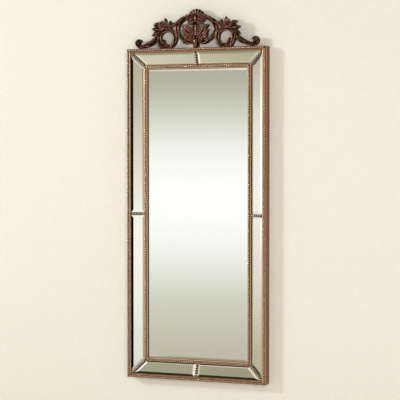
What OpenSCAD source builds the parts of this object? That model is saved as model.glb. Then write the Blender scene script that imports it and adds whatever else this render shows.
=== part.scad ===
// Full-length wall mirror: a bevelled centre glass inside a border of eight sloping bevelled glasses,
// held by pearl-beaded mouldings, with a pierced carved crest on top and two strap hangers behind.
// X runs to the right, Y into the wall and Z up. The wall is y = 0 and the frame's lower edge is z = 0.

/* [Frame] */
// Outer width of the frame
frame_w = 656; // [600:1:900]
// Outer height of the frame, without the crest
frame_h = 1490; // [1000:1:2000]
// Depth of the frame's outer side face, from the wall forward
side_depth = 50; // [46:1:60]
// How far the rail's front stands proud of the side face
front_rise = 8; // [6:0.5:12]
// Width of the outer rail seen from the front
rail_w = 19; // [18:0.5:26]
// How far the rail's lip covers the border glass
lip_cover = 1.5; // [1:0.1:2.5]
// Width of the rebate that takes the carrier board
rebate_w = 7; // [5:0.5:8]

/* [Pearl beading] */
// Diameter of a pearl on the outer rails
outer_pearl_d = 9.8; // [8:0.1:9.8]
// Diameter of a pearl on the inner moulding and the bars
inner_pearl_d = 9; // [7:0.1:9.8]
// How far a pearl's centre stands in front of the wood
pearl_rise = 0.5; // [0:0.1:1]
// Wanted distance between pearls, adjusted so that each run ends evenly
pearl_pitch = 10.55; // [10.4:0.05:14]
// Distance from the frame's outer edge to the outer pearl row
outer_pearl_u = 6.5; // [6.3:0.1:7]
// Width of the outer beading strip
beading_w = 10; // [9.8:0.1:10.2]
// Thickness of the outer beading strip's base
beading_t = 3; // [2:0.1:4]
// Height of the rail's outer edge above the groove floor
groove_edge = 3; // [2:0.1:4]

/* [Glass] */
// Thickness of the border glass
border_t = 4; // [3:0.5:5]
// Thickness of the centre glass
centre_t = 5; // [4:0.5:6]
// Depth of the centre glass's front behind the side face's front edge
centre_recess = 23; // [20:0.5:26]
// Depth of the border glass's outer edge behind the rail's front
border_recess = 5.2; // [4.5:0.1:7]
// Width of the sloping border, from the frame's edge to the border glass's inner edge
border_w = 78; // [66:0.5:100]
// Depth of the border glass's inner edge behind the side face's front edge
border_drop = 22; // [19:0.5:25]
// Bevel that shows on every glass
bevel_show = 10.5; // [6:0.5:16]
// Angle of the bevels
bevel_angle = 8; // [4:0.5:10]

/* [Inner moulding] */
// Width of the inner moulding
moulding_w = 14.5; // [13:0.5:20]
// How far the moulding's base covers the border glass
moulding_cover = 2; // [1.5:0.1:4]
// How far the moulding's base covers the centre glass
centre_cover = 2.6; // [2:0.1:4]
// Height of the moulding's flats above the centre glass
moulding_h = 10.6; // [8:0.2:13]
// Clearance between a bevel and the wood that stands over it
bevel_gap = 0.3; // [0.2:0.05:0.5]

/* [Beaded bars] */
// Width of the bars over the mitres and at the middles
bar_w = 13; // [11:0.5:16]
// Width of the stem that stands between two glasses
bar_stem = 4.6; // [3:0.1:6]
// Thickness of the bar's flange
bar_t = 2.7; // [2:0.1:4]

/* [Back] */
// Thickness of the carrier board
board_t = 12; // [9:0.5:13]
// Thickness of the back panel
panel_t = 3; // [2.5:0.5:4]
// Clearance around the board, the panel and the glasses
fit_gap = 0.2; // [0.1:0.05:0.4]
// Length of a corner tongue along the mitre
tongue_l = 10; // [8:0.5:11]
// Width of a corner tongue across the mitre
tongue_w = 7; // [5:0.5:8]
// Thickness of a corner tongue
tongue_t = 3; // [2:0.5:5]
// Distance of the panel screws from the panel's edge
panel_screw_inset = 24; // [16:1:40]
// Panel screws in each side row
panel_screw_rows = 5; // [3:1:8]
// Diameter of a panel screw's shank
panel_screw_d = 2.9; // [2.5:0.1:3.5]
// Length of a panel screw
panel_screw_l = 12; // [10:0.5:14]

/* [Hangers] */
// Distance of each hanger from the frame's side edge
hanger_inset = 108; // [88:1:160]
// Distance from the frame's top edge down to the hanger ring's bar
hanger_drop = 240; // [150:1:500]
// Width of the strap
strap_w = 14; // [12:0.5:18]
// Length of the strap below the ring's bar
strap_l = 42; // [36:1:60]
// Thickness of the strap
strap_t = 1.5; // [1.2:0.1:1.6]
// Wire diameter of the ring
ring_wire = 3; // [2.5:0.1:3]
// Clearance between the ring's bar and the strap's eye
ring_gap = 0.1; // [0.05:0.01:0.1]
// Distance between the centre lines of the ring's two legs
ring_span = 22; // [21:0.5:28]
// Length of the ring's straight legs
ring_leg = 3; // [2:0.5:8]
// Radius of the ring's lower corners
ring_corner = 3; // [2.5:0.5:4]
// Distance from the ring's bar to the upper strap screw
strap_screw_z1 = 12; // [11:0.5:14]
// Distance from the ring's bar to the lower strap screw
strap_screw_z2 = 34; // [28:0.5:36]
// Diameter of a strap screw's shank
strap_screw_d = 3.4; // [3:0.1:4]
// Length of a strap screw under its head
strap_screw_l = 14; // [10:0.5:15]

/* [Crest] */
// Back plane of the crest, in front of the wall
crest_back = 20; // [14:1:26]
// Depth of the crest's scrolls
scroll_depth = 28; // [20:1:30]
// Width of the crest's scroll bands
scroll_band = 18; // [14:0.5:20]
// Half width of the oval, along the middle of its band
oval_a = 90.5; // [84:0.5:94]
// Half height of the oval, along the middle of its band
oval_b = 61; // [56:0.5:64]
// Height of the oval's middle above the frame
oval_z = 83; // [78:0.5:88]
// Distance of each ring scroll's centre from the middle
ring_x = 137; // [134:0.5:142]
// Height of the ring scroll's centre above the frame
ring_z = 45; // [42:0.5:46]
// Radius of the ring scroll, along the middle of its band
ring_r = 38; // [35:0.5:40]
// Radius of a rose
rose_r = 20; // [16:0.5:23]
// Distance of each rose's centre from the middle
rose_x = 153; // [148:0.5:158]
// Height of a rose's centre above the frame
rose_z = 103; // [98:0.5:108]
// Radius of the shell's fan
shell_r = 52; // [44:0.5:56]
// Height of the shell's root above the frame
shell_z = 124; // [118:0.5:128]
// Diameter of a crest dowel
dowel_d = 8; // [6:0.5:9]
// Length of a crest dowel
dowel_l = 30; // [26:1:30]
// Depth of a dowel in the top rail
dowel_in_rail = 14; // [12:0.5:14]

/* [Hidden] */

// Depths, all as y from the wall
front_y = -(side_depth + front_rise);
centre_y = -(side_depth - centre_recess);
board_y = centre_y + centre_t;
panel_y = board_y + board_t;
panel_back_y = panel_y + panel_t;
glass_out_y = front_y + border_recess;
glass_in_y = -(side_depth - border_drop);

// The border glass's slope
glass_out_u = rail_w - lip_cover;
slope = atan((glass_in_y - glass_out_y) / (border_w - glass_out_u));
slope_len = (border_w - glass_out_u) / cos(slope);
border_back_w = glass_out_u - border_t * sin(slope) - fit_gap;
function glass_y(u) = glass_out_y + (u - glass_out_u) * tan(slope);
function glass_back_y(u) = glass_y(u) + border_t / cos(slope);
bevel_drop = tan(bevel_angle);
// y of the wood over a sloping bevel, at the distance u, for a bevel of width w that starts at u0
function over_bevel_y(u0, w) = glass_y(u0) + w * bevel_drop / cos(slope) - bevel_gap;
lip_y = over_bevel_y(glass_out_u, bevel_show + lip_cover);

// Widths across the border, from the frame's outer edge
moulding_u0 = border_w - moulding_cover;
moulding_u1 = moulding_u0 + moulding_w;
stem_u0 = border_w + fit_gap;
centre_u = moulding_u1 - centre_cover;
stem_u1 = centre_u - fit_gap;
moulding_pearl_u = (moulding_u0 + moulding_u1) / 2;
moulding_flat_y = centre_y - moulding_h;
board_u = rail_w - rebate_w + fit_gap;
moulding_out_y = over_bevel_y(moulding_u0, bevel_show);
moulding_in_y = centre_y + bevel_show * bevel_drop - bevel_gap;
pearl_sink = 0.4;
even_end = 0.72;

wood_c = "#8a6242";
pearl_c = "#b98b68";
bare_wood_c = "#c8a878";
glass_c = "#d8dfdc";
board_c = "#7a6650";
steel_c = "#b8babd";
crest_c = "#4a2f20";

// A member is drawn along X with its outer edge at z = 0 and its inner edge upwards.
// This turns it to one of the four sides.
module at_side(side) {
  if (side == "bottom") children();
  if (side == "top") translate([0, 0, frame_h]) rotate([0, 180, 0]) children();
  if (side == "left") translate([-frame_w / 2, 0, frame_h / 2]) rotate([0, 90, 0]) children();
  if (side == "right") translate([frame_w / 2, 0, frame_h / 2]) rotate([0, -90, 0]) children();
}

function run(side) = (side == "bottom" || side == "top") ? frame_w : frame_h;

// A profile drawn along a whole side, past both mitres. Its points are [y, distance from the outer edge].
module full_run(side, profile) {
  rotate([90, 0, 90]) linear_extrude(run(side) + 2, center = true) polygon(profile);
}

module member(side, profile) {
  intersection() {
    full_run(side, profile);
    mitre_clip(side);
  }
}

mitre_reach = border_w + 30;
module mitre_clip(side) {
  half = run(side) / 2;
  rotate([90, 0, 0]) linear_extrude(4 * side_depth, center = true)
    polygon([[-half, 0], [half, 0], [half - mitre_reach, mitre_reach], [-half + mitre_reach, mitre_reach]]);
}

// One pearl, a domed ball whose flat is sunk a little into the wood behind it
module pearl(d) {
  rotate([90, 0, 0]) rotate_extrude($fn = 24) intersection() {
    circle(d = d, $fn = 24);
    translate([0, -pearl_rise - pearl_sink]) square([d, d]);
  }
}

// A straight row of pearls along X that leaves the same rest at both ends.
module pearl_row(length, wood_y, d) {
  count = max(1, round(length / pearl_pitch + 1 - 2 * even_end));
  step = length / (count - 1 + 2 * even_end);
  for (i = [0 : count - 1])
    translate([-length / 2 + step * (even_end + i), wood_y - pearl_rise, 0]) pearl(d);
}

// Outer rails and stiles
groove_y = -side_depth - groove_edge;
groove_u0 = outer_pearl_u - beading_w / 2;
groove_u1 = outer_pearl_u + beading_w / 2;
edge_round = 2.4;
rail_profile = [
  [0, 0], [-side_depth, 0], [groove_y, groove_u0 * 0.35],
  [groove_y - groove_edge, groove_u0 * 0.85], [groove_y - groove_edge, groove_u0],
  [groove_y, groove_u0], [groove_y, groove_u1],
  [front_y + 0.8, groove_u1], [front_y + 0.2, groove_u1 + 0.8], [front_y, groove_u1 + 1.8],
  [front_y, rail_w - edge_round], [front_y + 0.6, rail_w - 0.9], [front_y + edge_round, rail_w],
  [lip_y, rail_w], [lip_y, border_back_w],
  [board_y, border_back_w], [board_y, rail_w - rebate_w], [0, rail_w - rebate_w]
];

module outer_member(side) {
  color(wood_c) difference() {
    at_side(side) member(side, rail_profile);
    tongues(0.1);
    if (side == "top") dowels(0.05);
  }
}

// Outer beading: a strip let into the rail's groove, with its pearls
beading_y = groove_y - beading_t;
module outer_beading(side) {
  gap = 0.05;
  profile = [
    [groove_y, groove_u0 + gap], [beading_y, groove_u0 + gap],
    [beading_y, groove_u1 - gap], [groove_y, groove_u1 - gap]
  ];
  color(pearl_c) at_side(side) union() {
    member(side, profile);
    translate([0, 0, outer_pearl_u])
      pearl_row(run(side) - 2 * outer_pearl_u, beading_y, outer_pearl_d);
  }
}

// Ground battens: sloping strips on the carrier board that the border glass lies on
batten_u1 = border_w - 4;
batten_profile = [
  [board_y, border_back_w], [glass_back_y(border_back_w), border_back_w],
  [glass_back_y(batten_u1), batten_u1], [board_y, batten_u1]
];
module ground_batten(side) {
  color(bare_wood_c) at_side(side) member(side, batten_profile);
}

// A flat glass with a bevel of its own width along each edge. points run anticlockwise.
module bevelled_glass(points, thick, widths) {
  n = len(points);
  difference() {
    linear_extrude(thick) polygon(points);
    for (i = [0 : n - 1]) {
      a = points[i];
      b = points[(i + 1) % n];
      w = widths[i];
      reach = norm(b - a) + 8 * w;
      translate([a.x, a.y, 0]) rotate([0, 0, atan2(b.y - a.y, b.x - a.x)])
        translate([-4 * w, w, thick]) rotate([bevel_angle, 0, 0])
          translate([0, -4 * w, 0]) cube([reach, 8 * w, 4 * thick]);
    }
  }
}

// Border glass: one half of one side. way is 1 for the half towards +X of the member, -1 for the other.
bar_gap = bar_stem / 2 + fit_gap;
bar_bevel = bevel_show + bar_w / 2 - bar_gap;
module border_mirror(side, way) {
  half = run(side) / 2;
  end_gap = bar_gap * sqrt(2);
  points = [
    [bar_gap, 0], [half - glass_out_u - end_gap, 0],
    [half - border_w - end_gap, slope_len], [bar_gap, slope_len]
  ];
  widths = [bevel_show + lip_cover, bar_bevel, bevel_show + moulding_cover, bar_bevel];
  color(glass_c) at_side(side) mirror([way < 0 ? 1 : 0, 0, 0])
    translate([0, glass_out_y, glass_out_u]) rotate([90 - slope, 0, 0])
      translate([0, 0, -border_t]) bevelled_glass(points, border_t, widths);
}

module centre_mirror() {
  w = frame_w / 2 - centre_u;
  h = frame_h / 2 - centre_u;
  edge = bevel_show + centre_cover;
  color(glass_c) translate([0, board_y, frame_h / 2]) rotate([90, 0, 0])
    bevelled_glass([[-w, -h], [w, -h], [w, h], [-w, h]], centre_t, [edge, edge, edge, edge]);
}

// Inner moulding: stands on the carrier board between the border glass and the centre glass
module inner_moulding(side) {
  profile = [
    [board_y, stem_u0], [moulding_out_y, stem_u0], [moulding_out_y, moulding_u0],
    [moulding_flat_y + 3, moulding_u0], [moulding_flat_y + 1, moulding_u0 + 0.6],
    [moulding_flat_y, moulding_u0 + 1.8], [moulding_flat_y, moulding_u1 - 1.8],
    [moulding_flat_y + 1, moulding_u1 - 0.6], [moulding_flat_y + 3, moulding_u1],
    [moulding_in_y, moulding_u1], [moulding_in_y, stem_u1], [board_y, stem_u1]
  ];
  color(pearl_c) at_side(side) union() {
    member(side, profile);
    translate([0, 0, moulding_pearl_u])
      pearl_row(run(side) - 2 * moulding_pearl_u, moulding_flat_y, inner_pearl_d);
  }
}

// A beaded bar along X. under is how far its flange stands in front of the line y = 0.
module beaded_bar(length, under) {
  edge = 1;
  top = -under - bar_t;
  profile = [
    [-under, -bar_w / 2], [top + edge, -bar_w / 2], [top, -bar_w / 2 + edge],
    [top, bar_w / 2 - edge], [top + edge, bar_w / 2], [-under, bar_w / 2],
    [-under, bar_stem / 2], [2 * border_t, bar_stem / 2], [2 * border_t, -bar_stem / 2],
    [-under, -bar_stem / 2]
  ];
  rotate([90, 0, 90]) linear_extrude(1.5 * length, center = true) polygon(profile);
  pearl_row(length, top, inner_pearl_d);
}

// What lies between the rail's lip and the inner moulding, in front of the carrier board
module border_region() {
  translate([0, board_y, 0]) rotate([90, 0, 0]) linear_extrude(2 * side_depth) difference() {
    translate([-frame_w / 2 + rail_w, rail_w])
      square([frame_w - 2 * rail_w, frame_h - 2 * rail_w]);
    translate([-frame_w / 2 + moulding_u0, moulding_u0])
      square([frame_w - 2 * moulding_u0, frame_h - 2 * moulding_u0]);
  }
}

// Mitre bars: over the joint between two sides' glass. x_way and z_way name the corner.
bar_mid_u = (rail_w + moulding_u0) / 2;
mitre_bar_rise = bar_w / 2 * tan(slope) / sqrt(2) - (bevel_show - 1) * bevel_drop + bevel_gap;
middle_bar_drop = (bevel_show - 1) * bevel_drop - bevel_gap;
module mitre_bar(x_way, z_way) {
  fall = atan(tan(slope) / sqrt(2));
  length = (moulding_u0 - rail_w) * sqrt(2) / cos(fall);
  color(pearl_c) difference() {
    intersection() {
      translate([0, 0, frame_h / 2]) mirror([x_way < 0 ? 0 : 1, 0, 0]) mirror([0, 0, z_way < 0 ? 0 : 1])
        translate([-frame_w / 2 + bar_mid_u, glass_y(bar_mid_u), -frame_h / 2 + bar_mid_u])
          rotate([0, -45, 0]) rotate([0, 0, fall]) beaded_bar(length, mitre_bar_rise);
      border_region();
    }
    for (side = [x_way < 0 ? "left" : "right", z_way < 0 ? "bottom" : "top"])
      at_side(side) full_run(side, batten_profile);
  }
}

// Middle bars: over the joint at the middle of each side
module middle_bar(side) {
  length = (moulding_u0 - rail_w) / cos(slope);
  color(pearl_c) difference() {
    intersection() {
      at_side(side) translate([0, glass_y(bar_mid_u), bar_mid_u])
        rotate([-slope, 0, 0]) rotate([0, -90, 0]) beaded_bar(length, -middle_bar_drop);
      border_region();
    }
    at_side(side) full_run(side, batten_profile);
  }
}

// Carrier board, back panel and their fasteners
module sheet(y, thick) {
  translate([-frame_w / 2 + board_u, y, board_u])
    cube([frame_w - 2 * board_u, thick, frame_h - 2 * board_u]);
}

screw_x = frame_w / 2 - board_u - panel_screw_inset;
screw_z0 = board_u + panel_screw_inset;
screw_z1 = frame_h - screw_z0;
panel_screw_spots = concat(
  [for (s = [-1, 1]) for (i = [0 : panel_screw_rows - 1])
    [s * screw_x, screw_z0 + (screw_z1 - screw_z0) * i / (panel_screw_rows - 1)]],
  [[0, screw_z0], [0, screw_z1]]
);
screw_head = 2.1;
module panel_screw(gap, length) {
  head_h = 1.8;
  rotate([90, 0, 0]) rotate_extrude($fn = 32) polygon([
    [0, 0], [panel_screw_d / 2 * screw_head + gap, 0], [panel_screw_d / 2 + gap, head_h],
    [panel_screw_d / 2 + gap, length], [0, length]
  ]);
}
module panel_screw_set(gap, length) {
  for (p = panel_screw_spots) translate([p.x, panel_back_y, p.y]) panel_screw(gap, length);
}

hanger_x = frame_w / 2 - hanger_inset;
hanger_z = frame_h - hanger_drop;
strap_spots = [for (s = [-1, 1]) for (d = [strap_screw_z1, strap_screw_z2]) [s * hanger_x, hanger_z - d]];
module strap_screw_shanks(gap, length) {
  for (p = strap_spots) translate([p.x, panel_back_y + strap_t, p.y]) rotate([90, 0, 0])
    cylinder(r = strap_screw_d / 2 + gap, h = length, $fn = 32);
}

module carrier_board() {
  color(board_c) difference() {
    sheet(board_y, board_t);
    panel_screw_set(0.05, panel_screw_l + 0.5);
    strap_screw_shanks(0.05, strap_screw_l + 0.5);
  }
}
module back_panel() {
  color(board_c) difference() {
    sheet(panel_y, panel_t);
    panel_screw_set(0.05, panel_screw_l + 0.5);
    strap_screw_shanks(0.2, strap_t + panel_t + 0.2);
  }
}
module panel_screws() {
  color(steel_c) difference() {
    panel_screw_set(0, panel_screw_l);
    for (p = panel_screw_spots) translate([p.x, panel_back_y, p.y]) cross_recess();
  }
}
module cross_recess() {
  for (a = [45, 135]) rotate([0, a, 0]) cube([2.8, 1.6, 0.7], center = true);
}
module strap_screws() {
  head_r = 3.4;
  head_h = 1.9;
  color(steel_c) difference() {
    union() {
      strap_screw_shanks(0, strap_screw_l);
      for (p = strap_spots) translate([p.x, panel_back_y + strap_t, p.y]) rotate([-90, 0, 0])
        cylinder(r1 = head_r, r2 = head_r * 0.7, h = head_h, $fn = 32);
    }
    for (p = strap_spots) translate([p.x, panel_back_y + strap_t + head_h, p.y]) cross_recess();
  }
}

// Corner tongues across the four mitres, hidden in the wood
tongue_y = (board_y + groove_y) / 2;
module tongues(gap) {
  for (x_way = [-1, 1]) for (z_way = [-1, 1])
    translate([x_way * (frame_w / 2 - border_back_w / 2), tongue_y,
               frame_h / 2 + z_way * (frame_h / 2 - border_back_w / 2)])
      rotate([0, x_way * z_way * 45, 0])
        cube([tongue_w + 2 * gap, tongue_t + 2 * gap, tongue_l + 2 * gap], center = true);
}
module corner_tongues() { color(bare_wood_c) tongues(0); }

// Hangers: a strap folded round the bar of a D-shaped ring
eye_r = ring_wire / 2 + ring_gap + strap_t;
eye_y = panel_back_y + eye_r;
module strap_hanger(way) {
  color(steel_c) translate([way * hanger_x, 0, hanger_z]) difference() {
    union() {
      translate([-strap_w / 2, panel_back_y, -strap_l]) cube([strap_w, strap_t, strap_l]);
      translate([0, eye_y, 0]) rotate([0, 90, 0]) cylinder(r = eye_r, h = strap_w, center = true, $fn = 48);
    }
    translate([0, eye_y, 0]) rotate([0, 90, 0])
      cylinder(r = ring_wire / 2 + ring_gap, h = 2 * strap_w, center = true, $fn = 48);
    for (d = [strap_screw_z1, strap_screw_z2]) translate([0, panel_back_y - 1, -d]) rotate([-90, 0, 0])
      cylinder(r = strap_screw_d / 2 + 0.2, h = 4 * strap_t, $fn = 32);
  }
}

module hanger_ring(way) {
  r = ring_span / 2;
  bar = r - ring_corner;
  color(steel_c) translate([way * hanger_x, eye_y, hanger_z]) union() {
    rotate([0, 90, 0]) cylinder(d = ring_wire, h = 2 * bar, center = true, $fn = 24);
    for (s = [-1, 1]) {
      translate([s * bar, 0, ring_corner]) rotate([90, 0, 0]) rotate([0, 0, s > 0 ? -90 : 180])
        rotate_extrude(angle = 90, $fn = 48) translate([ring_corner, 0]) circle(d = ring_wire, $fn = 24);
      translate([s * r, 0, ring_corner]) cylinder(d = ring_wire, h = ring_leg, $fn = 24);
    }
    translate([0, 0, ring_corner + ring_leg]) rotate([90, 0, 0])
      rotate_extrude(angle = 180, $fn = 48) translate([r, 0]) circle(d = ring_wire, $fn = 24);
  }
}

// Crest. Its pieces are drawn for the right side, with z counted from the frame's top edge.
crest_y = -crest_back;
dowel_y = -(crest_back + 15);
foot_x = 146;
dowel_spots = [-foot_x, 0, foot_x];
module dowels(gap) {
  for (x = dowel_spots) translate([x, dowel_y, frame_h - dowel_in_rail - gap])
    cylinder(r = dowel_d / 2 + gap, h = dowel_l + 2 * gap, $fn = 32);
}
module crest_dowels() { color(bare_wood_c) dowels(0); }

function unit(v) = v / norm(v);
function blend4(a, b, c, d, t) =
  0.5 * (2 * b + (c - a) * t + (2 * a - 5 * b + 4 * c - d) * t * t + (3 * b - a - 3 * c + d) * t * t * t);
function smooth(p, k) = let (n = len(p)) [
  for (i = [0 : n - 2]) for (j = [0 : k - 1])
    blend4(p[max(i - 1, 0)], p[i], p[i + 1], p[min(i + 2, n - 1)], j / k),
  p[n - 1]
];

scroll_section = [
  [-0.5, 0], [-0.5, 0.62], [-0.34, 0.97], [-0.18, 0.9], [-0.07, 0.7],
  [0.07, 0.7], [0.18, 0.9], [0.34, 0.97], [0.5, 0.62], [0.5, 0]
];
leaf_section = [[-0.5, 0.05], [-0.5, 0.4], [-0.24, 0.92], [0, 0.72], [0.24, 0.92], [0.5, 0.4], [0.5, 0.05]];

// A carved band: the section swept along points [x, z, width, depth] in front of the plane y = back.
module carved(p, k, back, section) {
  c = smooth(p, k);
  n = len(c);
  m = len(section);
  points = [
    for (i = [0 : n - 1])
      let (a = c[max(i - 1, 0)], b = c[min(i + 1, n - 1)], t = unit([b.x - a.x, b.y - a.y]))
      for (s = section) [
        c[i].x - t.y * s.x * c[i][2], back - s.y * c[i][3], c[i].y + t.x * s.x * c[i][2]
      ]
  ];
  sides = [
    for (i = [0 : n - 2]) for (j = [0 : m - 1]) let (j2 = (j + 1) % m)
      each [[i * m + j, i * m + j2, (i + 1) * m + j2], [i * m + j, (i + 1) * m + j2, (i + 1) * m + j]]
  ];
  caps = [[for (j = [m - 1 : -1 : 0]) j], [for (j = [0 : m - 1]) (n - 1) * m + j]];
  polyhedron(points, concat(caps, sides), convexity = 8);
}

// A rounded lobe from one ball to another, each given as [x, y, z, radius].
module lobe(a, b) {
  hull() {
    translate([a.x, a.y, a.z]) sphere(r = a[3], $fn = 8);
    translate([b.x, b.y, b.z]) sphere(r = b[3], $fn = 8);
  }
}

// The eye in the middle of a volute
module eye(x, z, r, front) {
  lobe([x, crest_y - r * 0.9, z, r * 0.9], [x, crest_y - front + r, z, r]);
}

module above_rail() {
  translate([-frame_w, -2 * side_depth, 0]) cube([2 * frame_w, 4 * side_depth, frame_h]);
}

volute_a = 236;
ring_path = [
  for (a = [-64 : 15 : volute_a])
    [ring_x + ring_r * cos(a), ring_z + ring_r * sin(a), scroll_band, scroll_depth]
];
volute_path = [
  for (a = [volute_a - 8 : 15 : 352]) let (q = max(0, a - volute_a) / 116)
    [ring_x + (ring_r - 19 * q) * cos(a), ring_z + (ring_r - 19 * q) * sin(a),
     scroll_band * (1 - 0.5 * q), scroll_depth * (1 + 0.1 * q)]
];
module ring_shape() {
  intersection() {
    union() {
      carved(ring_path, 1, crest_y, scroll_section);
      carved(volute_path, 1, crest_y, scroll_section);
      eye(ring_x + 15, ring_z - 21, 8, scroll_depth + 4);
      for (i = [-2 : 2])
        lobe([foot_x + 5 * i, dowel_y, 6, 11], [foot_x + 11 * i, dowel_y - 4, 9 - abs(i), 6.5]);
      lobe([foot_x - 20, dowel_y, 3, 7], [foot_x + 20, dowel_y, 3, 7]);
      lobe([ring_x - 28, dowel_y - 4, ring_z - 27, 8], [ring_x - 22, dowel_y - 6, ring_z - 36, 6]);
      lobe([ring_x + 30, dowel_y - 4, ring_z - 25, 8], [ring_x + 27, dowel_y - 6, ring_z - 36, 6]);
    }
    above_rail();
  }
}

oval_path = concat(
  [for (t = [68 : -9.2 : -70]) [oval_a * cos(t), oval_z + oval_b * sin(t), scroll_band, scroll_depth]],
  [[23, oval_z - 60, 14, 28], [15.5, oval_z - 53, 11, 28], [17, oval_z - 44, 9, 28],
   [25, oval_z - 41, 7, 28]]
);
module oval_shape() {
  union() {
    carved(oval_path, 1, crest_y, scroll_section);
    eye(29, oval_z - 48, 7, scroll_depth + 5);
    eye(80, oval_z + 34, 6.5, scroll_depth + 4);
    for (i = [0 : 2])
      lobe([80 + 9 * i, dowel_y - 6, oval_z + 40 - 7 * i, 7],
           [91 + 9 * i, dowel_y - 4, oval_z + 34 - 7 * i, 5]);
    lobe([60, dowel_y - 2, oval_z + 56, 6], [76, dowel_y - 2, oval_z + 48, 6]);
    lobe([40, dowel_y - 2, oval_z - 62, 6], [58, dowel_y - 2, oval_z - 57, 6]);
    lobe([34, dowel_y - 2, oval_z + 62, 6], [50, dowel_y - 2, oval_z + 58, 6]);
  }
}

s_path = [
  [166, 76, 8, 14], [180, 64, 13, 25], [193, 44, 20, 28], [210, 29, 23, 28], [232, 19, 21, 28],
  [252, 13, 18, 28], [270, 12, 16, 28], [283, 19, 13, 28], [286, 31, 10, 28], [278, 41, 8.5, 28],
  [267, 39, 7.5, 28], [262, 31, 6, 28]
];
module s_shape() {
  union() {
    carved(s_path, 2, crest_y, scroll_section);
    eye(273, 26, 8.5, scroll_depth + 4);
    for (i = [0 : 5])
      lobe([188 + 10 * i, dowel_y, 52 - 7 * i, 6], [197 + 10 * i, dowel_y - 3, 47 - 6 * i, 4]);
  }
}

leaf_paths = [
  [[138, 82, 8, 30], [128, 96, 20, 36], [121, 110, 16, 36], [119, 124, 5, 30]],
  [[148, 90, 10, 30], [146, 108, 22, 36], [143, 122, 16, 34], [141, 134, 5, 30]],
  [[150, 88, 12, 30], [166, 100, 24, 36], [181, 108, 20, 36], [196, 113, 6, 30]],
  [[158, 80, 12, 30], [176, 84, 26, 36], [192, 86, 20, 36], [209, 90, 7, 30]],
  [[162, 72, 12, 30], [178, 68, 26, 36], [194, 64, 20, 34], [209, 56, 7, 30]],
  [[124, 84, 10, 26], [116, 95, 12, 28], [112, 106, 10, 28], [104, 116, 6, 26]]
];
module leaves_shape() {
  union() {
    for (p = leaf_paths) carved(p, 2, crest_y - 4, leaf_section);
    for (a = [20 : 72 : 330])
      lobe([184, crest_y - 34, 84, 5], [184 + 7 * cos(a), crest_y - 38, 84 + 7 * sin(a), 5.5]);
    lobe([150, crest_y - 20, 93, 12], [152, crest_y - 20, 104, 12]);
    lobe([186, crest_y - 36, 98, 5], [194, crest_y - 40, 104, 4]);
    lobe([143, crest_y - 30, 126, 6], [144, crest_y - 33, 131, 5]);
  }
}

module rose_shape() {
  back = crest_y - 30;
  ring_n = [6, 5, 3];
  union() {
    lobe([rose_x, back, rose_z, 9], [rose_x, back - 16, rose_z, 8]);
    for (k = [0 : 2]) for (i = [0 : ring_n[k] - 1]) {
      a = 360 / ring_n[k] * i + 31 * k;
      out = rose_r * [0.66, 0.42, 0.18][k];
      size = rose_r * [0.34, 0.28, 0.22][k];
      lobe([rose_x + out * 0.5 * cos(a), back - 2 - 6 * k, rose_z + out * 0.5 * sin(a), size],
           [rose_x + out * cos(a), back - 6 - 7 * k, rose_z + out * sin(a), size]);
    }
  }
}

module shell_shape() {
  union() {
    for (a = [-54 : 18 : 54])
      lobe([6 * sin(a), crest_y - 20, shell_z + 4, 9],
           [(shell_r - 8.5) * sin(a), crest_y - 25, shell_z + (shell_r - 8.5) * cos(a), 8.5]);
    lobe([0, crest_y - 34, shell_z + 6, 7], [0, crest_y - 30, shell_z + 24, 9]);
    lobe([0, crest_y - 24, shell_z - 20, 8], [0, crest_y - 30, shell_z - 6, 9]);
    for (s = [-1, 1]) {
      mirror([s < 0 ? 1 : 0, 0, 0])
        carved([[8, shell_z + 16, 10, 36], [22, shell_z + 20, 15, 40], [33, shell_z + 12, 13, 38],
                [36, shell_z, 10, 34], [29, shell_z - 8, 7, 30]], 2, crest_y, scroll_section);
      lobe([s * 10, crest_y - 18, shell_z - 16, 8], [s * 25, crest_y - 18, shell_z - 14, 8]);
      lobe([s * 27, crest_y - 18, shell_z - 8, 6], [s * 27, crest_y - 30, shell_z - 3, 6]);
    }
  }
}

bloom_leaf_paths = [
  [[7, 42, 9, 30], [13, 64, 15, 34], [15, 86, 14, 34], [10, 103, 5, 28]],
  [[9, 46, 10, 30], [27, 70, 26, 36], [44, 90, 26, 40], [66, 101, 8, 30]],
  [[11, 42, 10, 28], [34, 60, 24, 36], [51, 74, 22, 38], [66, 79, 7, 28]],
  [[12, 38, 10, 26], [31, 46, 17, 32], [47, 51, 17, 34], [58, 63, 6, 28]]
];
bloom_pearl_step = 9;
module bloom_shape() {
  union() {
    for (s = [0, 1]) mirror([s, 0, 0])
      for (p = bloom_leaf_paths) carved(p, 2, crest_y - 4, leaf_section);
    lobe([0, crest_y - 16, 46, 9], [0, crest_y - 20, 60, 6]);
    lobe([0, crest_y - 16, 60, 6], [0, crest_y - 16, 100, 6]);
    for (i = [0 : 4]) let (z = 58 + bloom_pearl_step * i)
      lobe([0, crest_y - 20, z, 3.6], [0, crest_y - 31, z, 4.3]);
    for (s = [-1, 1]) {
      lobe([s * 34, crest_y - 34, 76, 5], [s * 44, crest_y - 38, 88, 4]);
      lobe([s * 24, crest_y - 32, 52, 4], [s * 36, crest_y - 36, 58, 4]);
    }
  }
}

module foot_shape() {
  intersection() {
    union() {
      lobe([-5, dowel_y, 8, 10], [5, dowel_y, 8, 10]);
      for (i = [-2 : 2]) lobe([3 * i, dowel_y, 26, 7], [6 * i, dowel_y - 3, 5, 5]);
      lobe([0, dowel_y, 24, 8], [0, dowel_y - 12, 33, 8]);
      lobe([0, dowel_y + 4, 20, 10], [0, dowel_y + 2, 34, 8]);
    }
    above_rail();
  }
}

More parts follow.
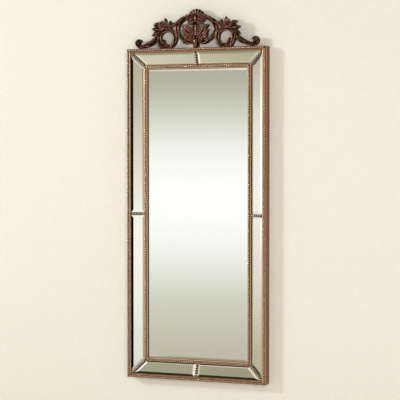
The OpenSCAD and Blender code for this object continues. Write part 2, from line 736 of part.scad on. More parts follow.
// One crest piece on its side of the frame, cut back from the pieces it is glued to.
module crest_piece(way) {
  color(crest_c) translate([0, 0, frame_h]) mirror([way < 0 ? 1 : 0, 0, 0]) difference() {
    children(0);
    if ($children > 1) children([1 : $children - 1]);
    translate([0, 0, -frame_h]) dowels(0.15);
  }
}
module both_ovals() {
  oval_shape();
  mirror([1, 0, 0]) oval_shape();
}
module crest_ring(way) { crest_piece(way) ring_shape(); }
module crest_oval(way) { crest_piece(way) { oval_shape(); ring_shape(); } }
module crest_s_scroll(way) { crest_piece(way) { s_shape(); ring_shape(); } }
module crest_leaves(way) { crest_piece(way) { leaves_shape(); ring_shape(); oval_shape(); s_shape(); } }
module crest_rose(way) { crest_piece(way) { rose_shape(); leaves_shape(); ring_shape(); } }
module crest_shell() { crest_piece(1) { shell_shape(); both_ovals(); } }
module crest_foot() { crest_piece(1) { foot_shape(); both_ovals(); } }
module crest_bloom() { crest_piece(1) { bloom_shape(); shell_shape(); both_ovals(); foot_shape(); } }

outer_member("bottom");  // outer_rail_bottom
outer_member("top");  // outer_rail_top
outer_member("left");  // outer_stile_left
outer_member("right");  // outer_stile_right
outer_beading("bottom");  // outer_beading_bottom
outer_beading("top");  // outer_beading_top
outer_beading("left");  // outer_beading_left
outer_beading("right");  // outer_beading_right
ground_batten("bottom");  // ground_batten_bottom
ground_batten("top");  // ground_batten_top
ground_batten("left");  // ground_batten_left
ground_batten("right");  // ground_batten_right
border_mirror("bottom", -1);  // border_mirror_bottom_left
border_mirror("bottom", 1);  // border_mirror_bottom_right
border_mirror("top", 1);  // border_mirror_top_left
border_mirror("top", -1);  // border_mirror_top_right
border_mirror("left", 1);  // border_mirror_left_lower
border_mirror("left", -1);  // border_mirror_left_upper
border_mirror("right", -1);  // border_mirror_right_lower
border_mirror("right", 1);  // border_mirror_right_upper
centre_mirror();
inner_moulding("bottom");  // inner_moulding_bottom
inner_moulding("top");  // inner_moulding_top
inner_moulding("left");  // inner_moulding_left
inner_moulding("right");  // inner_moulding_right
mitre_bar(-1, -1);  // mitre_bar_bottom_left
mitre_bar(1, -1);  // mitre_bar_bottom_right
mitre_bar(-1, 1);  // mitre_bar_top_left
mitre_bar(1, 1);  // mitre_bar_top_right
middle_bar("bottom");  // middle_bar_bottom
middle_bar("top");  // middle_bar_top
middle_bar("left");  // middle_bar_left
middle_bar("right");  // middle_bar_right
carrier_board();
back_panel();
corner_tongues();
panel_screws();
strap_hanger(-1);  // strap_hanger_left
strap_hanger(1);  // strap_hanger_right
hanger_ring(-1);  // hanger_ring_left
hanger_ring(1);  // hanger_ring_right
strap_screws();
crest_dowels();
crest_foot();
crest_oval(-1);  // crest_oval_left
crest_oval(1);  // crest_oval_right
crest_ring(-1);  // crest_ring_left
crest_ring(1);  // crest_ring_right
crest_s_scroll(-1);  // crest_s_scroll_left
crest_s_scroll(1);  // crest_s_scroll_right
crest_leaves(-1);  // crest_leaves_left
crest_leaves(1);  // crest_leaves_right
crest_rose(-1);  // crest_rose_left
crest_rose(1);  // crest_rose_right
crest_shell();
crest_bloom();
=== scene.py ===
import math

import bpy
import numpy as np
from mathutils import Matrix, Vector


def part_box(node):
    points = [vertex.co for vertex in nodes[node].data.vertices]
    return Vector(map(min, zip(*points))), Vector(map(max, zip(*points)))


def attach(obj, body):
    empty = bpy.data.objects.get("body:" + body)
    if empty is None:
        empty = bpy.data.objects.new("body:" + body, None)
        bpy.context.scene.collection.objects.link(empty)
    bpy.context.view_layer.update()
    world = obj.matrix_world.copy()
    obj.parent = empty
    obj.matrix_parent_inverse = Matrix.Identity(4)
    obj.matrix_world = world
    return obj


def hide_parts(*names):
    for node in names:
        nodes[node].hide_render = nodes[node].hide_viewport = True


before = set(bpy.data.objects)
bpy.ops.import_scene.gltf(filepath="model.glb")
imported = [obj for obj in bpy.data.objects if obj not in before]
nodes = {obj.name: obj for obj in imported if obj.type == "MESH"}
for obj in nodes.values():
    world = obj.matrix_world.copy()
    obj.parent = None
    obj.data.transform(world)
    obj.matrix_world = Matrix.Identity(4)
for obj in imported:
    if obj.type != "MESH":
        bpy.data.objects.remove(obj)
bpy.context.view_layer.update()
print("frame loaded:", len(nodes), "parts")

mm = 0.001

# The frame's own measures, read from the parts
frameWidth = 2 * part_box("outer_rail_bottom")[1].x
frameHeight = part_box("outer_rail_top")[1].z
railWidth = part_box("outer_rail_bottom")[1].z
mouldingOuter, mouldingInner = (frameWidth / 2 + corner.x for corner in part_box("inner_moulding_left"))
sideNames = ("bottom", "top", "left", "right")


# Small helpers for objects, angles and node trees

def linked(name, data):
    thing = bpy.data.objects.new(name, data)
    bpy.context.scene.collection.objects.link(thing)
    return thing


def cosOf(degrees):
    return math.cos(math.radians(degrees))


def sinOf(degrees):
    return math.sin(math.radians(degrees))


def isSocket(value):
    return isinstance(value, bpy.types.NodeSocket)


def feed(sockets, values):
    # a socket as a value is linked, anything else is set
    for key, value in values.items():
        if isSocket(value):
            value.id_data.links.new(value, sockets[key])
        else:
            sockets[key].default_value = value


def addNode(kind, inputs, **settings):
    # the node goes to the tree of the sockets that feed it
    tree = next(value.id_data for value in inputs.values() if isSocket(value))
    node = tree.nodes.new(kind)
    for key, value in settings.items():
        setattr(node, key, value)
    feed(node.inputs, inputs)
    return node


def firstOf(kind, inputs, **settings):
    return addNode(kind, inputs, **settings).outputs[0]


def calc(operation, a, b=0.0):
    return firstOf("ShaderNodeMath", {0: a, 1: b}, operation=operation)


def plus(a, b):
    return calc("ADD", a, b)


def minus(a, b):
    return calc("SUBTRACT", a, b)


def times(a, b):
    return calc("MULTIPLY", a, b)


def blended(a, b, share):
    return plus(times(a, share), times(b, 1 - share))


def scaled(vector, scale):
    return firstOf("ShaderNodeVectorMath", {0: vector, "Scale": scale}, operation="SCALE")


def partsOf(vector):
    return addNode("ShaderNodeSeparateXYZ", {0: vector}).outputs


def mixColor(factor, a, b, blend="MIX"):
    node = addNode("ShaderNodeMix", {0: factor, 6: a, 7: b}, data_type="RGBA", blend_type=blend)
    return node.outputs[2]


def remap(value, fromMin, fromMax, toMin=0.0, toMax=1.0):
    return firstOf("ShaderNodeMapRange", {
        "Value": value, "From Min": fromMin, "From Max": fromMax, "To Min": toMin, "To Max": toMax},
        interpolation_type="SMOOTHSTEP")


def noise(vector, scale, detail=4.0, rough=0.55):
    return firstOf("ShaderNodeTexNoise",
                   {"Vector": vector, "Scale": scale, "Detail": detail, "Roughness": rough})


def stretched(vector, scale):
    return firstOf("ShaderNodeMapping", {"Vector": vector, "Scale": scale})


def addSockets(tree, way, sockets):
    # each socket is given by its type, or by a default value that tells the type
    types = {float: "Float", int: "Int", tuple: "Color"}
    for label, value in sockets.items():
        kind = value if isinstance(value, str) else types[type(value)]
        socket = tree.interface.new_socket(name=label, in_out=way, socket_type="NodeSocket" + kind)
        if value != kind:
            socket.default_value = value


def newTree(name, kind, inputs, outputs):
    tree = bpy.data.node_groups.new(name, kind)
    addSockets(tree, "INPUT", inputs)
    addSockets(tree, "OUTPUT", outputs)
    return tree, tree.nodes.new("NodeGroupInput").outputs, tree.nodes.new("NodeGroupOutput").inputs


def useGroup(group, look, **more):
    # each input of the group takes the value of the same name
    values = {**look, **more}
    inputs = {item.name: values[item.name] for item in group.interface.items_tree if item.in_out == "INPUT"}
    return addNode("ShaderNodeGroup", inputs, node_tree=group).outputs


# Shader groups shared by the finishes

def makeRubbedFinish():
    # dark hollows, a dark glaze and partly painted shade, then a body colour, and metal rubbed over
    # whatever stands high
    tree, given, result = newTree("rubbedFinish", "ShaderNodeTree", {
        "vector": "Vector", "high": 0.5, "hollow": (0.02, 0.01, 0.01, 1), "body": (0.1, 0.05, 0.03, 1),
        "rubbed": (0.5, 0.3, 0.2, 1), "hollowEnd": 0.35, "rubStart": 0.6, "rubEnd": 0.9, "breakup": 0.3,
        "scale": 120.0, "matt": 0.5, "polish": 0.25},
        {"color": "Color", "metal": "Float", "roughness": "Float", "height": "Float"})
    patches = noise(given["vector"], given["scale"], 5.0)
    fine = noise(given["vector"], times(given["scale"], 7.0), 3.0)
    shift = times(minus(patches, 0.5), given["breakup"])
    high = plus(given["high"], times(shift, 2.0))
    rub = remap(high, given["rubStart"], given["rubEnd"])
    raised = remap(high, 0.0, given["hollowEnd"])
    # painted shade: what lies low takes the dark hollow colour, over a dark glaze
    ground = mixColor(raised, given["hollow"], given["body"])
    tint = remap(fine, 0.35, 0.65, 0.82, 1.12)
    roughness = remap(rub, 0.0, 1.0, given["matt"], given["polish"])
    feed(result, {"color": scaled(mixColor(rub, ground, given["rubbed"]), tint), "metal": rub,
                  "roughness": plus(roughness, times(fine, 0.12)), "height": blended(fine, patches, 0.35)})
    return tree


def makeWoodGrain():
    # light and dark fibres, which a stretched vector lays along the piece
    tree, given, result = newTree("woodGrain", "ShaderNodeTree", {
        "vector": "Vector", "light": (0.6, 0.42, 0.25, 1), "dark": (0.35, 0.2, 0.1, 1), "contrast": 0.6},
        {"color": "Color", "roughness": "Float", "height": "Float"})
    bands = noise(given["vector"], 22.0, 3.0)
    fibre = noise(given["vector"], 160.0, 6.0, 0.7)
    grain = remap(blended(bands, fibre, 0.6), 0.38, 0.62)
    color = mixColor(times(grain, given["contrast"]), given["light"], given["dark"])
    feed(result, {"color": color, "roughness": remap(fibre, 0.3, 0.7, 0.52, 0.72), "height": fibre})
    return tree


def makeSettledDust():
    # a faint haze that is strongest on what faces up
    tree, given, result = newTree("settledDust", "ShaderNodeTree", {
        "vector": "Vector", "color": (0.5, 0.5, 0.5, 1), "dust": 0.1}, {"color": "Color"})
    dustColor = (0.55, 0.5, 0.44, 1)
    upward = remap(partsOf(tree.nodes.new("ShaderNodeNewGeometry").outputs["Normal"])["Z"], 0.1, 1.0)
    specks = remap(noise(given["vector"], 60.0, 6.0, 0.7), 0.4, 0.7)
    mask = times(times(upward, specks), given["dust"])
    feed(result, {"color": mixColor(mask, given["color"], dustColor)})
    return tree


rubbedFinish = makeRubbedFinish()
woodGrain = makeWoodGrain()
settledDust = makeSettledDust()
print("shader groups built")


# Materials. Each function gives the shader's inputs for a place on the piece and a look.

def makeMaterial(name, inputsFor, look):
    material = bpy.data.materials.new(name)
    material.use_nodes = True
    tree = material.node_tree
    place = tree.nodes.new("ShaderNodeTexCoord").outputs["Object"]
    feed(tree.nodes["Principled BSDF"].inputs, inputsFor(place, look))
    return material


def bumps(height, strength, distance):
    return firstOf("ShaderNodeBump", {"Strength": strength, "Distance": distance, "Height": height})


def rubbedInputs(place, look):
    attribute = place.id_data.nodes.new("ShaderNodeAttribute")
    attribute.attribute_name = "high"
    finish = useGroup(rubbedFinish, look, vector=place, high=attribute.outputs["Fac"])
    color = useGroup(settledDust, look, vector=place, color=finish["color"])["color"]
    lacquerRoughness = 0.2
    if "backPlane" in look:
        # wood that was only washed over on its flat back
        bare = remap(partsOf(place)["Y"], look["backPlane"] - 0.8 * mm, look["backPlane"] - 0.3 * mm)
        color = mixColor(bare, color, look["bareWood"])
    return {"Base Color": color, "Roughness": finish["roughness"], "Specular IOR Level": look["gloss"],
            "Metallic": times(finish["metal"], look["metal"]), "Coat Roughness": lacquerRoughness,
            "Coat Weight": times(finish["metal"], look["lacquer"]),
            "Normal": bumps(finish["height"], 0.35, 0.4 * mm)}


def mirrorInputs(place, look):
    haze = noise(stretched(place, (1.0, 1.0, 0.6)), look["hazeScale"], 6.0, 0.65)
    return {"Base Color": mixColor(haze, look["silver"], look["tint"]), "Metallic": 1.0,
            "Roughness": remap(haze, 0.35, 0.7, look["sharp"], look["soft"])}


def woodInputs(place, look):
    grain = useGroup(woodGrain, look, vector=stretched(place, look["stretch"]))
    return {"Base Color": grain["color"], "Roughness": grain["roughness"],
            "Normal": bumps(grain["height"], 0.3, 0.3 * mm)}


def boardInputs(place, look):
    # pressed fibres without a direction, in faint clouds
    fibres = noise(place, look["fibreScale"], 8.0, 0.75)
    mask = remap(blended(fibres, noise(place, 5.0, 3.0), 0.7), 0.35, 0.65)
    return {"Base Color": mixColor(mask, look["dark"], look["light"]),
            "Roughness": remap(fibres, 0.3, 0.7, 0.6, 0.85), "Normal": bumps(fibres, 0.4, 0.3 * mm)}


def zincInputs(place, look):
    spangle = addNode("ShaderNodeTexVoronoi", {"Vector": place, "Scale": look["spangleScale"]})
    shade = noise(place, 300.0, 4.0)
    mask = remap(plus(times(spangle.outputs["Distance"], 0.5), shade), 0.4, 1.0)
    return {"Base Color": mixColor(mask, look["dark"], look["light"]), "Metallic": 1.0,
            "Roughness": remap(shade, 0.3, 0.7, 0.28, 0.46), "Normal": bumps(shade, 0.15, 0.2 * mm)}


# The hollow colours are a dark glaze, and partly painted shade in the recesses and between the pearls.
copperLook = {
    "hollow": (0.05, 0.018, 0.007, 1), "body": (0.19, 0.078, 0.032, 1), "rubbed": (0.9, 0.63, 0.475, 1),
    "hollowEnd": 0.5, "rubStart": 0.45, "rubEnd": 0.85, "breakup": 0.08, "scale": 140.0, "metal": 0.85,
    "matt": 0.5, "polish": 0.18, "gloss": 0.2, "lacquer": 0.1, "dust": 0.02}
railLook = {
    "hollow": (0.05, 0.022, 0.008, 1), "body": (0.2, 0.092, 0.033, 1), "rubbed": (0.78, 0.525, 0.375, 1),
    "hollowEnd": 0.15, "rubStart": 0.45, "rubEnd": 0.85, "breakup": 0.2, "scale": 110.0, "metal": 0.75,
    "matt": 0.62, "polish": 0.24, "gloss": 0.3, "lacquer": 0.0, "dust": 0.06}
barLook = {
    "hollow": (0.02, 0.01, 0.005, 1), "body": (0.09, 0.05, 0.03, 1), "rubbed": (0.85, 0.7, 0.57, 1),
    "hollowEnd": 0.5, "rubStart": 0.3, "rubEnd": 0.75, "breakup": 0.12, "scale": 150.0, "metal": 0.8,
    "matt": 0.45, "polish": 0.22, "gloss": 0.2, "lacquer": 0.1, "dust": 0.04}
# on the crest the near-black hollow colour is glaze and painted shade, and the narrow rubbed ridges are
# rubbing and partly painted highlights
carvingLook = {
    "hollow": (0.003, 0.0012, 0.0006, 1), "body": (0.021, 0.006, 0.0025, 1),
    "rubbed": (0.82, 0.38, 0.26, 1), "hollowEnd": 0.75, "rubStart": 0.84, "rubEnd": 1.2, "breakup": 0.22,
    "scale": 60.0, "metal": 0.55, "matt": 0.34, "polish": 0.15, "gloss": 0.04, "lacquer": 1.4, "dust": 0.0,
    "backPlane": -0.02, "bareWood": (0.09, 0.05, 0.028, 1)}
mirrorLook = {"silver": (0.96, 0.97, 0.955, 1), "tint": (0.93, 0.95, 0.93, 1), "hazeScale": 9.0,
              "sharp": 0.0, "soft": 0.012}
pineLook = {"light": (0.66, 0.46, 0.27, 1), "dark": (0.42, 0.25, 0.12, 1), "contrast": 0.7,
            "stretch": (1.0, 1.0, 0.12)}
fibreboardLook = {"light": (0.5, 0.35, 0.21, 1), "dark": (0.38, 0.25, 0.14, 1), "fibreScale": 220.0}
hardboardLook = {"light": (0.24, 0.13, 0.07, 1), "dark": (0.14, 0.07, 0.035, 1), "fibreScale": 150.0}
zincLook = {"light": (0.72, 0.72, 0.7, 1), "dark": (0.42, 0.43, 0.44, 1), "spangleScale": 220.0}

copperBeading = makeMaterial("copperBeading", rubbedInputs, copperLook)
railPaint = makeMaterial("railPaint", rubbedInputs, railLook)
barBeading = makeMaterial("barBeading", rubbedInputs, barLook)
carvedUmber = makeMaterial("carvedUmber", rubbedInputs, carvingLook)
silveredGlass = makeMaterial("silveredGlass", mirrorInputs, mirrorLook)
sandedPine = makeMaterial("sandedPine", woodInputs, pineLook)
rawFibreboard = makeMaterial("rawFibreboard", boardInputs, fibreboardLook)
brownHardboard = makeMaterial("brownHardboard", boardInputs, hardboardLook)
zincPlate = makeMaterial("zincPlate", zincInputs, zincLook)
print("materials built")

# The CAD parts that keep their own mesh
keptFinish = {"carrier_board": rawFibreboard, "back_panel": brownHardboard, "corner_tongues": sandedPine,
              "crest_dowels": sandedPine, "panel_screws": zincPlate, "strap_screws": zincPlate}
for name, node in nodes.items():
    finish = keptFinish.get(name)
    if "mirror" in name:
        finish = silveredGlass
    elif name.startswith("ground_batten"):
        finish = sandedPine
    elif "hanger" in name:
        finish = zincPlate
    if finish:
        node.data.materials.clear()
        node.data.materials.append(finish)


# Meshes

def sideMatrix(side):
    # a member is drawn along X with its outer edge at z = 0; this turns it to its side
    turn, x, z = {"bottom": (0, 0, 0), "top": (180, 0, frameHeight),
                  "left": (90, -frameWidth / 2, frameHeight / 2),
                  "right": (-90, frameWidth / 2, frameHeight / 2)}[side]
    return Matrix.Translation((x, 0, z)) @ Matrix.Rotation(math.radians(turn), 4, "Y")


def runLength(side):
    return frameWidth if side in ("bottom", "top") else frameHeight


def sided(points, side):
    # the same points for the right, 1, or for the left, -1
    return [(side * x, *rest) for x, *rest in points]


def roundedProfile(corners, steps=4):
    # corners are (u, y, radius, high) in mm; one with a radius becomes an arc, unless it is nearly straight
    ring = []
    nearlyStraight = 1.55  # half of the corner's angle, in radians
    for i, (u, y, radius, high) in enumerate(corners):
        here = Vector((u, y))
        before = Vector(corners[i - 1][:2]) - here
        after = Vector(corners[(i + 1) % len(corners)][:2]) - here
        half = before.angle(after) / 2
        if radius <= 0 or half > nearlyStraight:
            ring.append((u, y, high))
            continue
        reach = min(radius / math.tan(half), 0.49 * before.length, 0.49 * after.length)
        start, end = here + before.normalized() * reach, here + after.normalized() * reach
        for k in range(steps + 1):
            t = k / steps
            point = (1 - t) ** 2 * start + 2 * t * (1 - t) * here + t * t * end
            ring.append((point.x, point.y, high))
    return ring


def storeHigh(mesh, high):
    stored = mesh.attributes.get("high") or mesh.attributes.new("high", "FLOAT", "POINT")
    stored.data.foreach_set("value", np.array(high, np.float32))


def newPiece(name, points, faces, high, material):
    mesh = bpy.data.meshes.new(name)
    mesh.from_pydata([tuple(p) for p in points], [], faces)
    storeHigh(mesh, high)
    mesh.materials.append(material)
    return linked(name, mesh)


def outwardFaces(piece, sharpDegrees):
    # makes every face point outwards and marks the edges that stay sharp
    mesh = piece.data
    bpy.context.view_layer.objects.active = piece
    piece.select_set(True)
    bpy.ops.object.mode_set(mode="EDIT")
    bpy.ops.mesh.select_all(action="SELECT")
    bpy.ops.mesh.normals_make_consistent(inside=False)
    bpy.ops.object.mode_set(mode="OBJECT")
    piece.select_set(False)
    mesh.shade_smooth()
    mesh.set_sharp_from_angle(angle=math.radians(sharpDegrees))


def stripPiece(name, profile, firstX, lastX, material):
    # a profile drawn along X; firstX and lastX give each profile point's two ends
    count = len(profile)
    points = [(end(u, y) * mm, y * mm, u * mm) for end in (firstX, lastX) for u, y, _ in profile]
    faces = [(i, (i + 1) % count, count + (i + 1) % count, count + i) for i in range(count)]
    faces += [tuple(range(count))[::-1], tuple(range(count, 2 * count))]
    piece = newPiece(name, points, faces, [high for _, _, high in profile] * 2, material)
    outwardFaces(piece, sharpDegrees=32)
    return piece


def bakeMesh(piece):
    # the modifiers' result becomes the piece's own mesh
    graph = bpy.context.evaluated_depsgraph_get()
    mesh = bpy.data.meshes.new_from_object(piece.evaluated_get(graph), preserve_all_data_layers=True,
                                           depsgraph=graph)
    piece.modifiers.clear()
    piece.data = mesh
    mesh.name = piece.name


def applyTree(piece, tree, values):
    modifier = piece.modifiers.new(tree.name, "NODES")
    modifier.node_group = tree
    for item in tree.interface.items_tree:
        if item.in_out == "INPUT" and item.name in values:
            modifier[item.identifier] = values[item.name]
    bakeMesh(piece)


def placePiece(piece, matrix, body, *replaced):
    piece.data.transform(matrix)
    piece.data.update()
    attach(piece, body)
    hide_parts(*replaced)
    return piece


def makePearlRow():
    # a straight row of pearls along X, centred on x = 0, joined to the strip that carries it
    tree, given, result = newTree("pearlRow", "GeometryNodeTree", {
        "Geometry": "Geometry", "Count": 10, "Step": 0.0105, "Diameter": 0.009, "Wood Y": 0.0,
        "Rise": 0.0005, "Row Z": 0.0, "Sides": 12, "Rings": 7, "Material": "Material"},
        {"Geometry": "Geometry"})
    ball = firstOf("GeometryNodeMeshUVSphere",
                   {"Segments": given["Sides"], "Rings": given["Rings"], "Radius": 0.5})
    ball = firstOf("GeometryNodeTransform", {"Geometry": ball, "Rotation": (math.pi / 2, 0, 0)})
    smooth = firstOf("GeometryNodeSetShadeSmooth", {"Geometry": ball})
    # each pearl's front cap is marked high and its sides low: rubbing, and partly a painted highlight on
    # the cap and painted shade on the sides
    depth = partsOf(tree.nodes.new("GeometryNodeInputPosition").outputs[0])["Y"]
    marked = firstOf("GeometryNodeStoreNamedAttribute",
                     {"Geometry": smooth, "Name": "high", "Value": remap(depth, -0.24, -0.5)},
                     data_type="FLOAT", domain="POINT")
    spread = times(minus(given["Count"], 1.0), given["Step"])
    start = firstOf("ShaderNodeCombineXYZ", {
        "X": times(spread, -0.5), "Y": minus(given["Wood Y"], given["Rise"]), "Z": given["Row Z"]})
    offset = firstOf("ShaderNodeCombineXYZ", {"X": given["Step"]})
    line = firstOf("GeometryNodeMeshLine",
                   {"Count": given["Count"], "Start Location": start, "Offset": offset}, mode="OFFSET")
    pearls = firstOf("GeometryNodeInstanceOnPoints",
                     {"Points": line, "Instance": marked, "Scale": given["Diameter"]})
    joined = tree.nodes.new("GeometryNodeJoinGeometry")
    for part in (pearls, given["Geometry"]):
        tree.links.new(part, joined.inputs[0])
    real = firstOf("GeometryNodeRealizeInstances", {"Geometry": joined.outputs[0]})
    finished = firstOf("GeometryNodeSetMaterial", {"Geometry": real, "Material": given["Material"]})
    feed(result, {"Geometry": finished})
    return tree


pearlRow = makePearlRow()
pearlFit = {"pitch": 10.55 * mm, "endRest": 0.72, "rise": 0.5 * mm}


def addPearls(strip, length, diameter, woodY, rowZ):
    ends = 1 - 2 * pearlFit["endRest"]
    count = max(1, round(length / pearlFit["pitch"] + ends))
    applyTree(strip, pearlRow, {
        "Count": count, "Step": length / (count - ends), "Diameter": diameter, "Wood Y": woodY,
        "Rise": pearlFit["rise"], "Row Z": rowZ, "Material": strip.data.materials[0]})


def sideStrip(name, side, corners, material, replaced, beading=None, steps=4):
    # one mitred member along a side of the frame, with a pearl row where beading describes one
    half = runLength(side) / 2 / mm
    strip = stripPiece(name + side, roundedProfile(corners, steps), lambda u, y: u - half,
                       lambda u, y: half - u, material)
    if beading:
        length = runLength(side) - 2 * beading["row"]
        addPearls(strip, length, beading["pearl"], beading["woodY"], beading["row"])
    return placePiece(strip, sideMatrix(side), "frame", replaced)


# Outer rails and stiles, with their beading

# The share per side is painted light and shade: each side's rubbed colour is scaled as light falls on that
# side.
outerRail = {"corners": [
    (0, 0, 0.6, 0.15), (0, -50, 2.0, 0.3), (0.5, -53.2, 2.0, 0.75), (1.35, -56.2, 0.4, 0.9),
    (1.5, -56.2, 0, 0.3), (1.5, -53, 0, 0), (11.5, -53, 0, 0), (11.5, -57.1, 0.5, 0.2),
    (12.6, -58, 0.9, 1.0), (17.0, -58, 1.6, 0.8), (19, -55.4, 1.8, 0.1), (19, -51.3, 0.3, 0.0),
    (15.8, -51.3, 0, 0), (15.8, -22, 0, 0), (12, -22, 0, 0), (12, 0, 0.4, 0.1)],
    "sideShade": {"bottom": 0.62, "top": 0.58, "left": 0.75, "right": 1.0}}
# the strip under the pearls is marked low, so it takes the dark hollow colour: painted shade between the
# pearls
outerBeading = {
    "corners": [(1.55, -53, 0, 0), (1.55, -56, 0.6, 0), (11.45, -56, 0.6, 0), (11.45, -53, 0, 0)],
    "pearl": 9.8 * mm, "row": 6.5 * mm, "woodY": -56 * mm}


def shadedBySide(corners, share, lastU):
    # the same corners, with another share of the rubbed colour up to the given u: painted light and shade
    # for the side the member faces
    return [(u, y, radius, high * share if u <= lastU else high) for u, y, radius, high in corners]


for side in sideNames:
    memberName = ("outer_rail_" if side in ("bottom", "top") else "outer_stile_") + side
    railCorners = shadedBySide(outerRail["corners"], outerRail["sideShade"][side], railWidth / mm)
    rail = sideStrip("rail_", side, railCorners, railPaint, memberName)
    beads = sideStrip("outerPearls_", side, outerBeading["corners"], copperBeading, "outer_beading_" + side,
                      outerBeading, 2)
print("outer rails and beading made")


# Inner moulding

outEdge, inEdge = mouldingOuter / mm, mouldingInner / mm
stemOut, stemIn = outEdge + 2.2, inEdge - 2.8
# Per side, the outer wall's rubbed share is painted light and shade: darkest on the bottom, which faces
# down, brightest on the right.
innerMoulding = {"corners": [
    # the floor under the pearls is marked low and takes the dark hollow colour: painted shade between the
    # pearls
    (stemOut, -22, 0, 0), (stemOut, -27.5, 0, 0), (outEdge, -27.5, 0.2, 0.25), (outEdge, -34.9, 1.8, 0.9),
    (outEdge + 1.2, -37.6, 1.0, 1.0), (outEdge + 2.6, -37.6, 0.3, 0.9), (outEdge + 3.0, -36.9, 0, 0),
    (inEdge - 3.0, -36.9, 0, 0), (inEdge - 2.6, -37.6, 0.3, 0.9), (inEdge - 1.2, -37.6, 1.0, 1.0),
    (inEdge, -34.9, 1.8, 0.8), (inEdge, -25.8, 0.2, 0.25), (stemIn, -25.8, 0, 0), (stemIn, -22, 0, 0)],
    "sideShade": {"bottom": 0.2, "top": 0.8, "left": 1.0, "right": 1.1},
    "pearl": 9.0 * mm, "row": (mouldingOuter + mouldingInner) / 2, "woodY": -37.6 * mm}

for side in sideNames:
    wallCorners = shadedBySide(innerMoulding["corners"], innerMoulding["sideShade"][side], outEdge + 0.1)
    moulding = sideStrip("innerMoulding_", side, wallCorners, copperBeading, "inner_moulding_" + side,
                         innerMoulding)
print("inner moulding made")


# Beaded bars over the mitres and at the middles

beadedBar = {"width": 13.0, "thick": 2.7, "stem": 4.6, "stemDepth": 8.0, "pearl": 9.0 * mm,
             "mitreRise": 0.82, "middleDrop": 1.03}


def glassSlope():
    # slope of the border glass and the y at which its front plane meets the frame's lower edge
    mesh = nodes["border_mirror_bottom_left"].data
    planes = {}
    for polygon in mesh.polygons:
        if abs(polygon.normal.y) > 0.5:
            tan = -polygon.normal.z / polygon.normal.y
            point = mesh.vertices[polygon.vertices[0]].co
            group = planes.setdefault(round(tan, 2), [0.0, tan, []])
            group[0] += polygon.area
            group[2].append(point.y - point.z * tan)
    _, tan, starts = max(planes.values(), key=lambda group: group[0])
    return tan, min(starts)


slopeTan, slopeStart = glassSlope()


def barProfile(rise):
    half, stem, deep = beadedBar["width"] / 2, beadedBar["stem"] / 2, beadedBar["stemDepth"]
    top = -rise - beadedBar["thick"]
    under = -rise
    floor = top + 0.7
    # the floor under the pearls is marked low and takes the dark hollow colour: painted shade between the
    # pearls
    rim = [(half - 1.9, floor, 0, 0), (half - 1.4, top, 0.5, 0.8), (half, top + 0.4, 0.9, 0.45),
           (half, under, 0.2, 0)]
    tongue = [(stem, under, 0, 0), (stem, deep, 0, 0)]
    return roundedProfile([*sided(rim[::-1], -1), (0, floor, 0, 0), *rim, *tongue, (0, deep, 0, 0),
                           *sided(tongue[::-1], -1)], 3)


def makeBar(name, matrix, rise, startPlanes, endPlanes, length, replaced):
    # each end lies where the bar has passed all its planes; a plane is (axis, place on that axis)
    def reach(planes):
        def x(u, y):
            base = matrix @ Vector((0, y * mm, u * mm))
            along = matrix.to_3x3() @ Vector((1, 0, 0))
            return max((value - base[axis]) / along[axis] for axis, value in planes) / mm
        return x
    bar = stripPiece(name, barProfile(rise), reach(startPlanes), reach(endPlanes), barBeading)
    addPearls(bar, length, beadedBar["pearl"], (-rise - beadedBar["thick"]) * mm, 0.0)
    placePiece(bar, matrix, "frame", replaced)
    return bar


middleU = (railWidth + mouldingOuter) / 2
middleY = slopeStart + middleU * slopeTan
barRun = mouldingOuter - railWidth
fall = math.atan(slopeTan / math.sqrt(2))
slopeAngle = math.atan(slopeTan)
for corner in ("bottom_left", "bottom_right", "top_left", "top_right"):
    # drawn for the lower left corner, then mirrored to its own
    vertical, horizontal = corner.split("_")
    xWay = 1 if horizontal == "left" else -1
    zWay = 1 if vertical == "bottom" else -1
    base = (Matrix.Translation((middleU, middleY, middleU)) @ Matrix.Rotation(math.radians(-45), 4, "Y")
            @ Matrix.Rotation(fall, 4, "Z"))
    flip = (Matrix.Translation((-xWay * frameWidth / 2, 0, frameHeight * (1 - zWay) / 2))
            @ Matrix.Diagonal((xWay, 1, zWay, 1)))
    edges = [(0, railWidth), (2, railWidth)], [(0, mouldingOuter), (2, mouldingOuter)]
    bar = makeBar("mitreBar_" + corner, base, beadedBar["mitreRise"], *edges,
                  barRun * math.sqrt(2) / math.cos(fall), "mitre_bar_" + corner)
    bar.data.transform(flip)
    if xWay * zWay < 0:
        bar.data.flip_normals()

for side in sideNames:
    base = (Matrix.Translation((0, middleY, middleU)) @ Matrix.Rotation(-slopeAngle, 4, "X")
            @ Matrix.Rotation(math.radians(-90), 4, "Y"))
    bar = makeBar("middleBar_" + side, base, -beadedBar["middleDrop"], [(2, railWidth)],
                  [(2, mouldingOuter)], barRun / math.cos(slopeAngle), "middle_bar_" + side)
    bar.data.transform(sideMatrix(side))
print("beaded bars made")


# Crest. Its forms are in mm, with x from the middle and z from the frame's top edge.

crest = {"back": -20.0, "scrollDepth": 28.0, "band": 18.0, "ovalA": 90.5, "ovalB": 61.0, "ovalZ": 83.0,
         "ringX": 137.0, "ringZ": 45.0, "ringR": 38.0, "roseX": 153.0, "roseZ": 103.0, "roseR": 20.0,
         "shellZ": 124.0, "shellR": 52.0, "voxel": 1.0, "softening": 2, "spread": 26}
back = crest["back"]


def smoothPath(points, steps):
    p = np.array(points, float)
    padded = np.vstack([2 * p[0] - p[1], p, 2 * p[-1] - p[-2]])
    rows = []
    for i in range(len(p) - 1):
        a, b, c, d = padded[i:i + 4]
        for k in range(steps):
            t = k / steps
            rows.append(0.5 * (2 * b + (c - a) * t + (2 * a - 5 * b + 4 * c - d) * t * t
                               + (3 * b - a - 3 * c + d) * t ** 3))
    rows.append(p[-1])
    return np.array(rows)


